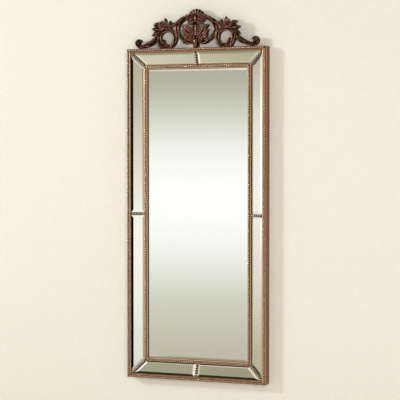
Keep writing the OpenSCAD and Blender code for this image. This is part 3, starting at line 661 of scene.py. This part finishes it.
def ringForm(rows):
    # rows of points, each row a closed ring; the first and last are capped
    rows = np.array(rows)
    n, m = rows.shape[:2]
    faces = [(i * m + j, i * m + (j + 1) % m, (i + 1) * m + (j + 1) % m, (i + 1) * m + j)
             for i in range(n - 1) for j in range(m)]
    faces += [tuple(range(m))[::-1], tuple(range((n - 1) * m, n * m))]
    return rows.reshape(-1, 3), faces


# Half of a scroll's section, as (share of the width, share of the depth): a ridge and the middle groove
bandHalf = [(0.5, 0), (0.5, 0.58), (0.47, 0.8), (0.41, 0.94), (0.32, 1.0), (0.23, 0.95), (0.16, 0.8),
            (0.1, 0.66)]
bandSection = [(-a, h) for a, h in bandHalf] + [(0, 0.6)] + bandHalf[::-1]


def tangents(rows):
    steps = np.gradient(rows[:, :2], axis=0)
    return steps / np.linalg.norm(steps, axis=1)[:, None]


def bandForm(path, steps=1, section=bandSection, behind=0.0):
    rows = smoothPath(path, steps)
    ways = tangents(rows)
    rings = []
    for (x, z, width, depth), (tx, tz) in zip(rows, ways):
        rings.append([(x - tz * a * width, back - behind - h * depth, z + tx * a * width)
                      for a, h in section])
    return ringForm(rings)


def leafForm(path, lobes=3):
    # an acanthus leaf: ribs that run along it, lobes down its sides, edges that turn back
    behind, serration, lean, curl, ribs = 4.0, 0.3, 0.15, 0.24, 0.12
    rows = smoothPath(path, 9)
    ways = tangents(rows)
    across = np.linspace(-1, 1, 19)
    rings = []
    for i, ((x, z, width, depth), (tx, tz)) in enumerate(zip(rows, ways)):
        s = i / (len(rows) - 1)
        lobe = abs(math.sin(math.pi * (lobes * s + 0.15))) ** 0.75
        fade = max(0.0, math.sin(math.pi * min(1.0, s * 1.1 + 0.05))) ** 0.5
        tip = math.sqrt(1 - max(0.0, (s - 0.8) / 0.2) ** 2 * 0.97)
        half = width / 2 * (1 - serration / 2 + serration * lobe * fade) * tip
        ridge = min(2.6, ribs * width)

        def spot(t, share, h):
            forward = lean * width * abs(t) ** 2 * lobe * fade * share
            return (x - tz * t * half * share + tx * forward, back - behind - h,
                    z + tx * t * half * share + tz * forward)

        front = [spot(t, 1, depth * (1 - curl * abs(t) ** 2.4) + ridge * math.cos(3 * math.pi * t) * fade)
                 for t in across]
        rear = [spot(t, 0.8, depth * (0.42 - 0.1 * abs(t))) for t in across[::-2]]
        rings.append(front + rear)
    return ringForm(rings)


def leaves(lobes, *paths):
    return [leafForm(path, lobes) for path in paths]


def knob(a, b, sides=14):
    # from one ball to another, each (x, distance in front of the back, z, radius)
    a, b = np.array(a, float), np.array(b, float)
    for ball in (a, b):
        ball[1] = back - ball[1]
    axis = b[:3] - a[:3]
    way = axis / np.linalg.norm(axis)
    aslant = (0.31, 0.87, 0.39)  # any way that no form follows
    other = np.cross(way, aslant)
    other /= np.linalg.norm(other)
    third = np.cross(way, other)
    turn = np.linspace(0, 2 * math.pi, sides, endpoint=False)
    circle = np.cos(turn)[:, None] * other + np.sin(turn)[:, None] * third
    rings = []
    for ball, first, last in ((a, -80, 0), (b, 0, 80)):
        centre, radius = ball[:3], ball[3]
        for angle in np.radians(np.linspace(first, last, 5)):
            rings.append(centre + way * radius * math.sin(angle) + circle * radius * math.cos(angle))
    return ringForm(rings)


def eye(x, z, radius, front):
    # a scroll's eye: a boss with a button on it
    middle = front - radius
    return [knob((x, radius, z, radius), (x, middle, z, radius)),
            knob((x, middle, z, radius * 0.5), (x, front + 0.2, z, radius * 0.42))]


def petal(x, z, depth, angle, span, inner, outer, lift, cup, roll):
    base = back - depth
    rings = []
    for v in np.linspace(0, 1, 9):
        front, rear = [], []
        for u in np.linspace(-1, 1, 11):
            width = span * (0.62 + 0.38 * math.sin(math.pi * min(1.0, v * 0.9 + 0.1)))
            a = angle + u * width
            r = inner + (outer - inner) * v * (1 - 0.16 * u * u)
            h = lift * v ** 0.8 + cup * u * u * v - roll * max(0.0, (v - 0.7) / 0.3) ** 2
            dx, dz = r * math.cos(a), r * math.sin(a)
            front.append((x + dx, base - h - 1.2, z + dz))
            rear.append((x + dx, base - h + 1.6, z + dz))
        rings.append(front + rear[::-1])
    return ringForm(rings)


def carve(name, forms, material, replaced, mirrored=False, extraRubAndHighlight=0.0):
    # joins the forms, fuses them into one skin, and marks what stands high on it
    points, faces = [], []
    for formPoints, formFaces in forms:
        start = sum(len(p) for p in points)
        points.append(np.array(formPoints))
        faces += [tuple(start + i for i in face) for face in formFaces]
    allPoints = np.vstack(points)
    allPoints[:, 2] = np.maximum(allPoints[:, 2], 0) + frameHeight / mm
    if mirrored:
        allPoints[:, 0] *= -1
    piece = newPiece(name, allPoints * mm, faces, np.zeros(len(allPoints)), material)
    fuse = piece.modifiers.new("fuse", "REMESH")
    fuse.mode = "VOXEL"
    fuse.voxel_size = crest["voxel"] * mm
    fuse.use_smooth_shade = True
    soften = piece.modifiers.new("soften", "SMOOTH")
    soften.factor = 0.5
    soften.iterations = crest["softening"]
    bakeMesh(piece)
    piece.data.materials.clear()
    piece.data.materials.append(material)
    markHigh(piece.data, extraRubAndHighlight)
    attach(piece, "frame")
    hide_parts(*replaced)


def readMesh(items, key, width, kind=float):
    values = np.empty(len(items) * width, kind)
    items.foreach_get(key, values)
    return values.reshape(-1, width)


def markHigh(mesh, extraRubAndHighlight):
    # a point stands high where it lies outside the blurred skin and looks to the front
    count = len(mesh.vertices)
    spots = readMesh(mesh.vertices, "co", 3)
    normals = readMesh(mesh.vertex_normals, "vector", 3)
    edges = readMesh(mesh.edges, "vertices", 2, int)
    share = np.bincount(edges.ravel(), minlength=count)[:, None]
    blurred = spots.copy()
    for _ in range(round(crest["spread"] / crest["voxel"] ** 2)):
        total = np.stack([np.bincount(edges[:, 0], blurred[edges[:, 1], k], count)
                          + np.bincount(edges[:, 1], blurred[edges[:, 0], k], count) for k in range(3)], 1)
        blurred = 0.5 * blurred + 0.5 * total / share
    # what lies low takes the dark hollow colour: glaze, and partly painted shade in the crest's recesses
    rise = ((spots - blurred) * normals).sum(1)
    mostRise = np.percentile(np.abs(rise), 85)
    high = np.clip(0.5 + 0.5 * rise / mostRise, 0, 1)
    facing = np.clip(0.45 - 0.75 * normals[:, 1], 0, 1)  # the front looks along -Y
    # the extra share raises the rubbed colour over the whole piece: rubbing, and partly a painted highlight
    storeHigh(mesh, (high + extraRubAndHighlight) * facing)


def ringScroll():
    x, z, r = crest["ringX"], crest["ringZ"], crest["ringR"]
    band, depth = crest["band"], crest["scrollDepth"]
    curlStart, curlEnd = 236, 352
    outer = [(x + r * cosOf(a), z + r * sinOf(a), band, depth) for a in range(-64, curlStart + 1, 6)]
    curl = []
    for a in range(curlStart - 6, curlEnd, 6):
        q = max(0, a - curlStart) / (curlEnd - curlStart)
        reach = r - 19 * q
        curl.append((x + reach * cosOf(a), z + reach * sinOf(a), band * (1 - 0.5 * q),
                     depth * (1 + 0.1 * q)))
    foot = x + 9
    return [
        bandForm(outer), bandForm(curl), *eye(x + 15, z - 21, 8, depth + 4),
        *(knob((foot + 5 * i, 15, 6, 10), (foot + 11 * i, 19, 9 - abs(i), 6.5)) for i in range(-2, 3)),
        knob((foot - 20, 15, 3, 7), (foot + 20, 15, 3, 7)),
        *leaves(4, [(x - 6, 2, 8, 26), (x - 20, 6, 14, 32), (x - 31, 18, 12, 32), (x - 34, 32, 5, 28)],
                [(x + 12, 3, 9, 28), (x + 26, 8, 15, 33), (x + 38, 20, 13, 33), (x + 44, 36, 5, 28)],
                [(x - 30, 70, 8, 26), (x - 18, 84, 12, 31), (x - 2, 87, 10, 31), (x + 10, 82, 4, 27)])]


def ovalScroll():
    a, b, z = crest["ovalA"], crest["ovalB"], crest["ovalZ"]
    band, depth = crest["band"], crest["scrollDepth"]
    path = [(a * cosOf(t), z + b * sinOf(t), band, depth) for t in range(68, -71, -4)]
    path += [(23, z - 60, 14, 28), (15.5, z - 53, 11, 28), (17, z - 44, 9, 28), (25, z - 41, 7, 28)]
    return [
        bandForm(path, 2), *eye(29, z - 48, 7, depth + 5), *eye(80, z + 34, 6.5, depth + 4),
        *(knob((80 + 9 * i, 21, z + 40 - 7 * i, 6.5), (91 + 9 * i, 19, z + 34 - 7 * i, 5))
          for i in range(3)),
        *leaves(4, [(78, z + 22, 8, 28), (74, z + 38, 14, 33), (62, z + 50, 13, 33), (48, z + 58, 5, 29)]),
        *leaves(3, [(60, z + 44, 7, 28), (48, z + 56, 12, 32), (36, z + 61, 10, 32), (26, z + 60, 4, 28)]),
        *leaves(4, [(84, z + 30, 8, 28), (96, z + 26, 13, 32), (108, z + 18, 11, 32), (118, z + 12, 4, 28)],
                [(80, z - 22, 7, 27), (72, z - 38, 12, 31), (60, z - 49, 11, 31), (46, z - 55, 5, 28)]),
        knob((38, 16, z - 62, 6), (58, 16, z - 57, 6))]


def endScroll():
    path = [(166, 76, 8, 14), (180, 64, 13, 25), (193, 44, 20, 28), (210, 29, 23, 28), (232, 19, 21, 28),
            (252, 13, 18, 28), (270, 12, 16, 28), (283, 19, 13, 28), (286, 31, 10, 28), (278, 41, 8.5, 28),
            (267, 39, 7.5, 28), (262, 31, 6, 28)]
    return [
        bandForm(path, 7), *eye(273, 26, 8.5, crest["scrollDepth"] + 4),
        *(knob((188 + 10 * i, 15, 52 - 7 * i, 6), (197 + 10 * i, 18, 47 - 6 * i, 4)) for i in range(6)),
        *leaves(5, [(184, 58, 9, 27), (198, 40, 17, 33), (216, 27, 15, 33), (236, 20, 5, 29)]),
        *leaves(3, [(240, 12, 6, 27), (256, 8, 11, 31), (270, 6, 9, 31), (281, 10, 4, 28)])]


def leafSpray():
    return [
        *leaves(4, [(138, 82, 8, 30), (128, 96, 20, 36), (121, 110, 16, 36), (119, 124, 5, 30)],
                [(148, 90, 10, 30), (146, 108, 22, 36), (143, 122, 16, 34), (141, 134, 5, 30)],
                [(150, 88, 12, 30), (166, 100, 24, 36), (181, 108, 20, 36), (196, 113, 6, 30)],
                [(158, 80, 12, 30), (176, 84, 26, 36), (192, 86, 20, 36), (209, 90, 7, 30)],
                [(162, 72, 12, 30), (178, 68, 26, 36), (194, 64, 20, 34), (209, 56, 7, 30)],
                [(124, 84, 10, 26), (116, 95, 12, 28), (112, 106, 10, 28), (104, 116, 6, 26)]),
        *(petal(185, 84, 34, math.radians(20 + 72 * k), 0.62, 1, 12, 5, 2.5, 2.5) for k in range(5)),
        knob((185, 30, 84, 4), (185, 41, 84, 3.2)), knob((150, 20, 93, 11), (152, 20, 104, 11)),
        knob((186, 36, 98, 5), (194, 40, 104, 3.5)), knob((143, 30, 126, 6), (144, 33, 131, 4))]


def roseForms():
    x, z, r = crest["roseX"], crest["roseZ"], crest["roseR"]
    forms = [knob((x, 28, z, 11), (x, 44, z, 8))]
    # rings of petals: count, turn, span, inner and outer radius, lift, cup and roll
    layers = ((5, 0, 0.74, 6, 21, 5, 4.5, 4.0), (5, 36, 0.74, 4, 16, 10, 4.5, 3.5),
              (4, 10, 0.85, 2, 10.5, 15, 3.5, 2.5))
    for count, turn, span, inner, outer, *bend in layers:
        for k in range(count):
            angle = math.radians(360 / count * k + turn)
            forms.append(petal(x, z, 36, angle, span, inner, outer * r / 20, *bend))
    # the bud is a band that winds in
    bud = []
    for t in np.arange(40) / 39:
        angle = 2 * math.pi * 1.8 * t
        bud.append((x + 5 * (1 - t) * math.cos(angle), z + 5 * (1 - t) * math.sin(angle), 2.6, 22 + 5 * t))
    forms.append(bandForm(bud, 1, [(-0.5, 0.3), (-0.4, 0.98), (0, 1.0), (0.4, 0.98), (0.5, 0.3)], 26))
    return forms


def shellForms():
    z, r = crest["shellZ"], crest["shellR"]
    half, ribs = 66, 7
    rings = []
    for a in np.linspace(-half, half, 85):
        rib = abs(sinOf((a + half) / (2 * half) * 180 * ribs))
        edge = (r - 1) * (0.9 + 0.07 * rib) * (1 - 0.1 * (a / half) ** 2)
        front, rear = [], []
        for q in np.linspace(0.06, 1, 16):
            bell = 14 + 20 * math.sin(math.pi * min(1, 0.25 + q * 0.62)) - 9 * max(0, q - 0.8) / 0.2 * 0.5
            x, up = q * edge * sinOf(a), z + q * edge * cosOf(a)
            front.append((x, back - (bell + 4.2 * rib * q ** 0.7), up))
            rear.append((x, back - 8, up))
        rings.append(front + rear[::-1])
    forms = [ringForm(rings), knob((0, 34, z + 6, 7), (0, 30, z + 22, 7)),
             knob((0, 24, z - 20, 8), (0, 30, z - 6, 9)), knob((-22, 11, z - 2, 10), (22, 11, z - 2, 10)),
             knob((-11, 26, z - 10, 5), (11, 26, z - 10, 5))]
    curl = [(8, z + 16, 10, 36), (22, z + 20, 15, 40), (33, z + 12, 13, 38), (36, z, 10, 34),
            (29, z - 8, 7, 30)]
    lower = [(4, z - 4, 7, 34), (14, z - 12, 15, 40), (26, z - 16, 13, 38), (37, z - 14, 4, 32)]
    upper = [(6, z + 4, 7, 32), (16, z + 2, 14, 38), (27, z - 3, 12, 36), (36, z - 9, 5, 32)]
    for s in (-1, 1):
        forms += [bandForm(sided(curl, s), 7), *eye(s * 27, z - 2, 5, 34),
                  knob((s * 10, 18, z - 16, 7), (s * 25, 18, z - 14, 7)),
                  knob((s * 27, 18, z - 8, 6), (s * 27, 26, z - 3, 5)),
                  *leaves(3, sided(lower, s), sided(upper, s))]
    return forms


def bloomForms():
    paths = [
        [(7, 42, 9, 30), (13, 64, 15, 34), (15, 86, 14, 34), (10, 103, 5, 28)],
        [(9, 46, 10, 30), (27, 70, 26, 36), (44, 90, 26, 40), (66, 101, 8, 30)],
        [(11, 42, 10, 28), (34, 60, 24, 36), (51, 74, 22, 38), (66, 79, 7, 28)],
        [(12, 38, 10, 26), (31, 46, 17, 32), (47, 51, 17, 34), (58, 63, 6, 28)]]
    return [*leaves(5, *(sided(path, s) for path in paths for s in (-1, 1))),
            knob((0, 16, 46, 9), (0, 20, 60, 6)), knob((0, 16, 60, 6), (0, 16, 100, 6)),
            *(knob((0, 20, z, 3.6), (0, 31, z, 4.4)) for z in range(58, 95, 9))]


def footForms():
    return [knob((-5, 15, 8, 10), (5, 15, 8, 10)),
            *(knob((3 * i, 15, 26, 7), (6 * i, 18, 5, 5)) for i in range(-2, 3)),
            knob((0, 15, 24, 8), (0, 24, 33, 7)), knob((0, 11, 20, 10), (0, 13, 34, 8)),
            *leaves(4, [(0, 38, 12, 30), (0, 26, 18, 34), (0, 14, 16, 34), (0, 3, 8, 30)])]


# the extra rub on some pieces is rubbing, and partly a painted highlight, most on the roses
sidePieces = {"ring": (ringScroll, 0.05), "oval": (ovalScroll, 0.05), "s_scroll": (endScroll, 0.0),
              "leaves": (leafSpray, 0.0), "rose": (roseForms, 0.2)}
for name, (makeForms, extraRubAndHighlight) in sidePieces.items():
    for side in ("right", "left"):
        carve("crest_" + name + "_carved_" + side, makeForms(), carvedUmber, ["crest_" + name + "_" + side],
              side == "left", extraRubAndHighlight)
for name, makeForms in (("shell", shellForms), ("bloom", bloomForms), ("foot", footForms)):
    carve("crest_" + name + "_carved", makeForms(), carvedUmber, ["crest_" + name], extraRubAndHighlight=0.1)
print("crest carved")


# Camera, at the photograph's place

view = {"place": (1.8881, -5.4785, 1.0522), "yaw": 18.983, "pitch": 1.688, "sensor": 36, "lens": 115.96,
        "shiftY": -0.04}
camera = linked("camera", bpy.data.cameras.new("camera"))
camera.data.sensor_width = view["sensor"]
camera.data.lens = view["lens"]
camera.data.shift_y = view["shiftY"]
camera.location = view["place"]
camera.rotation_euler = (math.radians(90 - view["pitch"]), 0, math.radians(view["yaw"]))
bpy.context.scene.camera = camera
bpy.context.scene.view_settings.view_transform = "Standard"
# the pearls are barely two pixels apart, so the noise filter's guide is kept sharp
bpy.context.scene.cycles.denoising_prefilter = "FAST"


# The room that the glasses reflect: bands by height in front, and screens to the sides by bearing.
# A stop is (degrees, red, green, blue), and a ramp holds at most 32 stops.

room = {
    "byHeight": [
        (-90, 0.8, 0.72, 0.6), (-52.5, 1, 0.88, 0.72), (-43.5, 0.85, 0.78, 0.62),
        (-39.5, 0.64, 0.61, 0.46), (-35, 0.46, 0.42, 0.27), (-25.5, 0.58, 0.55, 0.43),
        (-22.7, 0.66, 0.65, 0.52), (-21.7, 0.34, 0.3, 0.19), (-17.6, 0.3, 0.29, 0.2),
        (-12, 0.48, 0.46, 0.36), (-9.2, 0.545, 0.515, 0.41), (-6.8, 0.66, 0.67, 0.55),
        (-4.6, 0.95, 0.95, 0.9), (-2.4, 1.08, 1.08, 1.06), (-0.2, 0.95, 0.95, 0.9),
        (1.1, 0.72, 0.73, 0.63), (2.9, 0.48, 0.47, 0.36), (10, 0.3, 0.29, 0.22), (13, 0.6, 0.56, 0.45),
        (18.3, 0.74, 0.7, 0.59), (19, 0.74, 0.7, 0.59), (19.2, 1.15, 1.1, 1.02), (22, 1.1, 1.05, 0.97),
        (28.5, 0.41, 0.385, 0.27), (32.5, 0.39, 0.365, 0.25), (37.5, 0.34, 0.335, 0.215),
        (45.5, 0.85, 0.8, 0.66), (54, 0.82, 0.77, 0.6), (62, 0.62, 0.57, 0.4), (90, 1, 0.97, 0.9)],
    "byBearing": [
        (-180, 0.9, 0.9, 0.9), (-100, 0.8, 0.8, 0.78), (-84, 0.09, 0.08, 0.05), (-73, 0.09, 0.08, 0.05),
        (-69, 1, 1, 1), (2, 1, 1, 1), (3.5, 0.005, 0.004, 0.002), (11, 0.005, 0.004, 0.002), (14, 1, 1, 1),
        (32, 1, 1, 1), (35, 0.5, 0.47, 0.36), (48, 0.5, 0.47, 0.36), (60, 0.9, 0.9, 0.9)],
    "leftByHeight": [
        (-14.5, 0.95, 0.92, 0.84), (-12, 0.72, 0.7, 0.6), (-9, 0.8, 0.79, 0.68), (-6.8, 0.91, 0.9, 0.83),
        (-5.5, 0.96, 0.94, 0.88), (-3.4, 0.96, 0.94, 0.88), (-1.5, 0.85, 0.8, 0.7), (0.2, 0.72, 0.68, 0.55),
        (1.9, 0.58, 0.535, 0.4), (4, 0.48, 0.44, 0.31), (8, 0.46, 0.42, 0.3), (11, 0.95, 0.92, 0.84)],
    "rightByHeight": [
        (-14, 0.85, 0.83, 0.75), (-11.5, 0.42, 0.41, 0.27), (-9, 0.5, 0.49, 0.345),
        (-7.6, 0.64, 0.61, 0.47), (-5.9, 0.76, 0.745, 0.63), (-4.1, 0.85, 0.82, 0.73),
        (-2.5, 0.93, 0.92, 0.84), (-0.5, 0.9, 0.89, 0.82), (1, 0.82, 0.81, 0.72), (2, 0.69, 0.68, 0.59),
        (3.5, 0.54, 0.52, 0.4), (6.5, 0.5, 0.47, 0.35), (8.5, 0.85, 0.83, 0.75)],
    "dark": {"color": (0.03, 0.025, 0.012, 1), "from": 10.5, "full": 13, "until": 17.9, "to": 18.3},
    "screenHeight": 24.5, "screenFade": 0.93, "frontLeft": -42, "frontRight": 1, "edgeWidth": 0.005,
    "slant": 1, "slantBearing": -24.5, "slantMost": 12, "steepFrom": 17.5, "steepFull": 24,
    "ambient": (0.64, 0.6, 0.49, 1), "plain": (0.8, 0.77, 0.7, 1),
    "glow": {"from": -51, "full": -47, "low": -7, "high": -1, "most": 0.6}}


def rampOf(factor, stops, span):
    # the ramp spans so many degrees, with 0 in its middle
    node = addNode("ShaderNodeValToRGB", {0: factor})
    ramp = node.color_ramp
    for i, (degrees, *color) in enumerate(stops):
        spot = degrees / span + 0.5
        element = ramp.elements[i] if i < 2 else ramp.elements.new(spot)
        element.position = spot
        element.color = (*color, 1)
    return node.outputs[0]


def makeRoomLight():
    world = bpy.data.worlds.new("room")
    bpy.context.scene.world = world
    world.use_nodes = True
    world.cycles.sampling_method = "NONE"
    tree = world.node_tree
    way = partsOf(tree.nodes.new("ShaderNodeTexCoord").outputs["Generated"])
    # height in half turns, and both angles as places on their ramps
    height = calc("DIVIDE", calc("ARCSINE", way["Z"]), math.pi)
    farUp = calc("ABSOLUTE", height)
    heightFactor = plus(height, 0.5)
    bearing = calc("ARCTAN2", way["X"], times(way["Y"], -1.0))
    bearingFactor = plus(calc("DIVIDE", bearing, 2 * math.pi), 0.5)

    # the bands in front slant with the bearing where they are steep
    steep = remap(farUp, room["steepFrom"] / 180, room["steepFull"] / 180)
    aside = minus(times(bearing, 1 / math.pi), room["slantBearing"] / 180)
    aside = calc("MINIMUM", aside, room["slantMost"] / 180)
    slanted = plus(heightFactor, times(times(aside, steep), room["slant"]))
    byHeight = rampOf(slanted, room["byHeight"], 180)
    dark = room["dark"]
    darkness = times(remap(height, dark["from"] / 180, dark["full"] / 180),
                     remap(height, dark["to"] / 180, dark["until"] / 180))
    byHeight = mixColor(darkness, byHeight, dark["color"])

    # the screens, the right one with a glow near the front
    onLeft = rampOf(heightFactor, room["leftByHeight"], 180)
    onRight = rampOf(heightFactor, room["rightByHeight"], 180)
    glow = room["glow"]
    nearFront = remap(bearingFactor, glow["from"] / 360 + 0.5, glow["full"] / 360 + 0.5)
    rising = remap(height, glow["low"] / 180, glow["high"] / 180, 0.0, glow["most"])
    onRight = scaled(onRight, plus(times(nearFront, rising), 1.0))
    screens = mixColor(calc("GREATER_THAN", bearing, 0.0), onRight, onLeft)
    byBearing = rampOf(bearingFactor, room["byBearing"], 360)
    screens = mixColor(1.0, screens, byBearing, "MULTIPLY")
    screenEdge = room["screenHeight"] / 180
    lowEnough = remap(farUp, screenEdge, screenEdge * room["screenFade"])
    left, right = room["frontLeft"] / 360 + 0.5, room["frontRight"] / 360 + 0.5
    besideFront = plus(remap(bearingFactor, left, left - room["edgeWidth"]),
                       remap(bearingFactor, right, right + room["edgeWidth"]))
    shown = mixColor(times(lowEnough, besideFront), byHeight, screens)

    # what falls on matte things is warmer, and the camera sees a plain colour
    rays = tree.nodes.new("ShaderNodeLightPath").outputs
    shown = mixColor(rays["Is Diffuse Ray"], shown, room["ambient"], "MULTIPLY")
    shown = mixColor(rays["Is Camera Ray"], shown, room["plain"])
    feed(tree.nodes["Background"].inputs, {"Color": shown})


makeRoomLight()


# Lights, wall and floor. A light can be mirrored in the glasses, cast shadows, and light matte things.

lights = {
    "key": {"place": (-3.2, -3.1, 2.2), "size": 0.6, "power": 72, "mirrored": True, "shadows": True,
            "matte": True},
    "fill": {"place": (2.0, -4.7, 1.2), "size": 1.6, "power": 101, "mirrored": False, "shadows": False,
             "matte": True},
    "glint": {"place": (-3.4, -2.6, 4.4), "size": 1.3, "power": 130, "mirrored": True, "shadows": True,
              "matte": False}}
lightAim = Vector((0, 0, 0.8))
for name, values in lights.items():
    light = bpy.data.lights.new(name, "AREA")
    light.shape = "DISK"
    light.size = values["size"]
    light.energy = values["power"]
    light.cycles.cast_shadow = values["shadows"]
    lamp = linked(name, light)
    lamp.location = values["place"]
    lamp.visible_glossy = values["mirrored"]
    lamp.visible_diffuse = values["matte"]
    lamp.rotation_euler = (lightAim - lamp.location).to_track_quat("-Z", "Y").to_euler()

# a ray that has come less than backGap passes the wall, so light reaches the mirror's back
stage = {"wallColor": (0.855, 0.834, 0.785, 1), "floorColor": (0.74, 0.7, 0.62, 1), "wallY": 0.6 * mm,
         "floorZ": -0.3, "reach": 7.0, "backGap": 0.03}


def paintInputs(place, color):
    tint = remap(noise(place, 45.0, 5.0), 0.3, 0.7, 0.985, 1.01)
    return {"Base Color": scaled(color[:3], tint), "Roughness": 0.85, "Specular IOR Level": 0.15}


def stageMaterial(name, color):
    # plain matte paint that lets any ray through from behind, and light through to the mirror's back
    material = makeMaterial(name, paintInputs, color)
    tree = material.node_tree
    clear = tree.nodes.new("ShaderNodeBsdfTransparent")
    behind = tree.nodes.new("ShaderNodeNewGeometry").outputs["Backfacing"]
    rays = tree.nodes.new("ShaderNodeLightPath").outputs
    near = calc("LESS_THAN", rays["Ray Length"], stage["backGap"])
    near = times(near, minus(1.0, rays["Is Camera Ray"]))
    pick = firstOf("ShaderNodeMixShader", {0: calc("MAXIMUM", behind, near), 2: clear.outputs[0],
                                           1: tree.nodes["Principled BSDF"].outputs[0]})
    feed(tree.nodes["Material Output"].inputs, {"Surface": pick})
    return material


def stagePlane(name, points, color):
    mesh = bpy.data.meshes.new(name)
    mesh.from_pydata(points, [], [(0, 1, 2, 3)])
    mesh.materials.append(stageMaterial(name + "Paint", color))
    plane = linked(name, mesh)
    plane.visible_glossy = False


reach, floorZ, wallY = stage["reach"], stage["floorZ"], stage["wallY"]
wallFoot = [(-reach, wallY, floorZ), (reach, wallY, floorZ)]
wallTop = [(reach, wallY, reach), (-reach, wallY, reach)]
floorFront = [(-reach, -reach, floorZ), (reach, -reach, floorZ)]
stagePlane("wall", wallFoot + wallTop, stage["wallColor"])
stagePlane("floor", floorFront + wallFoot[::-1], stage["floorColor"])
print("stage and lights set")
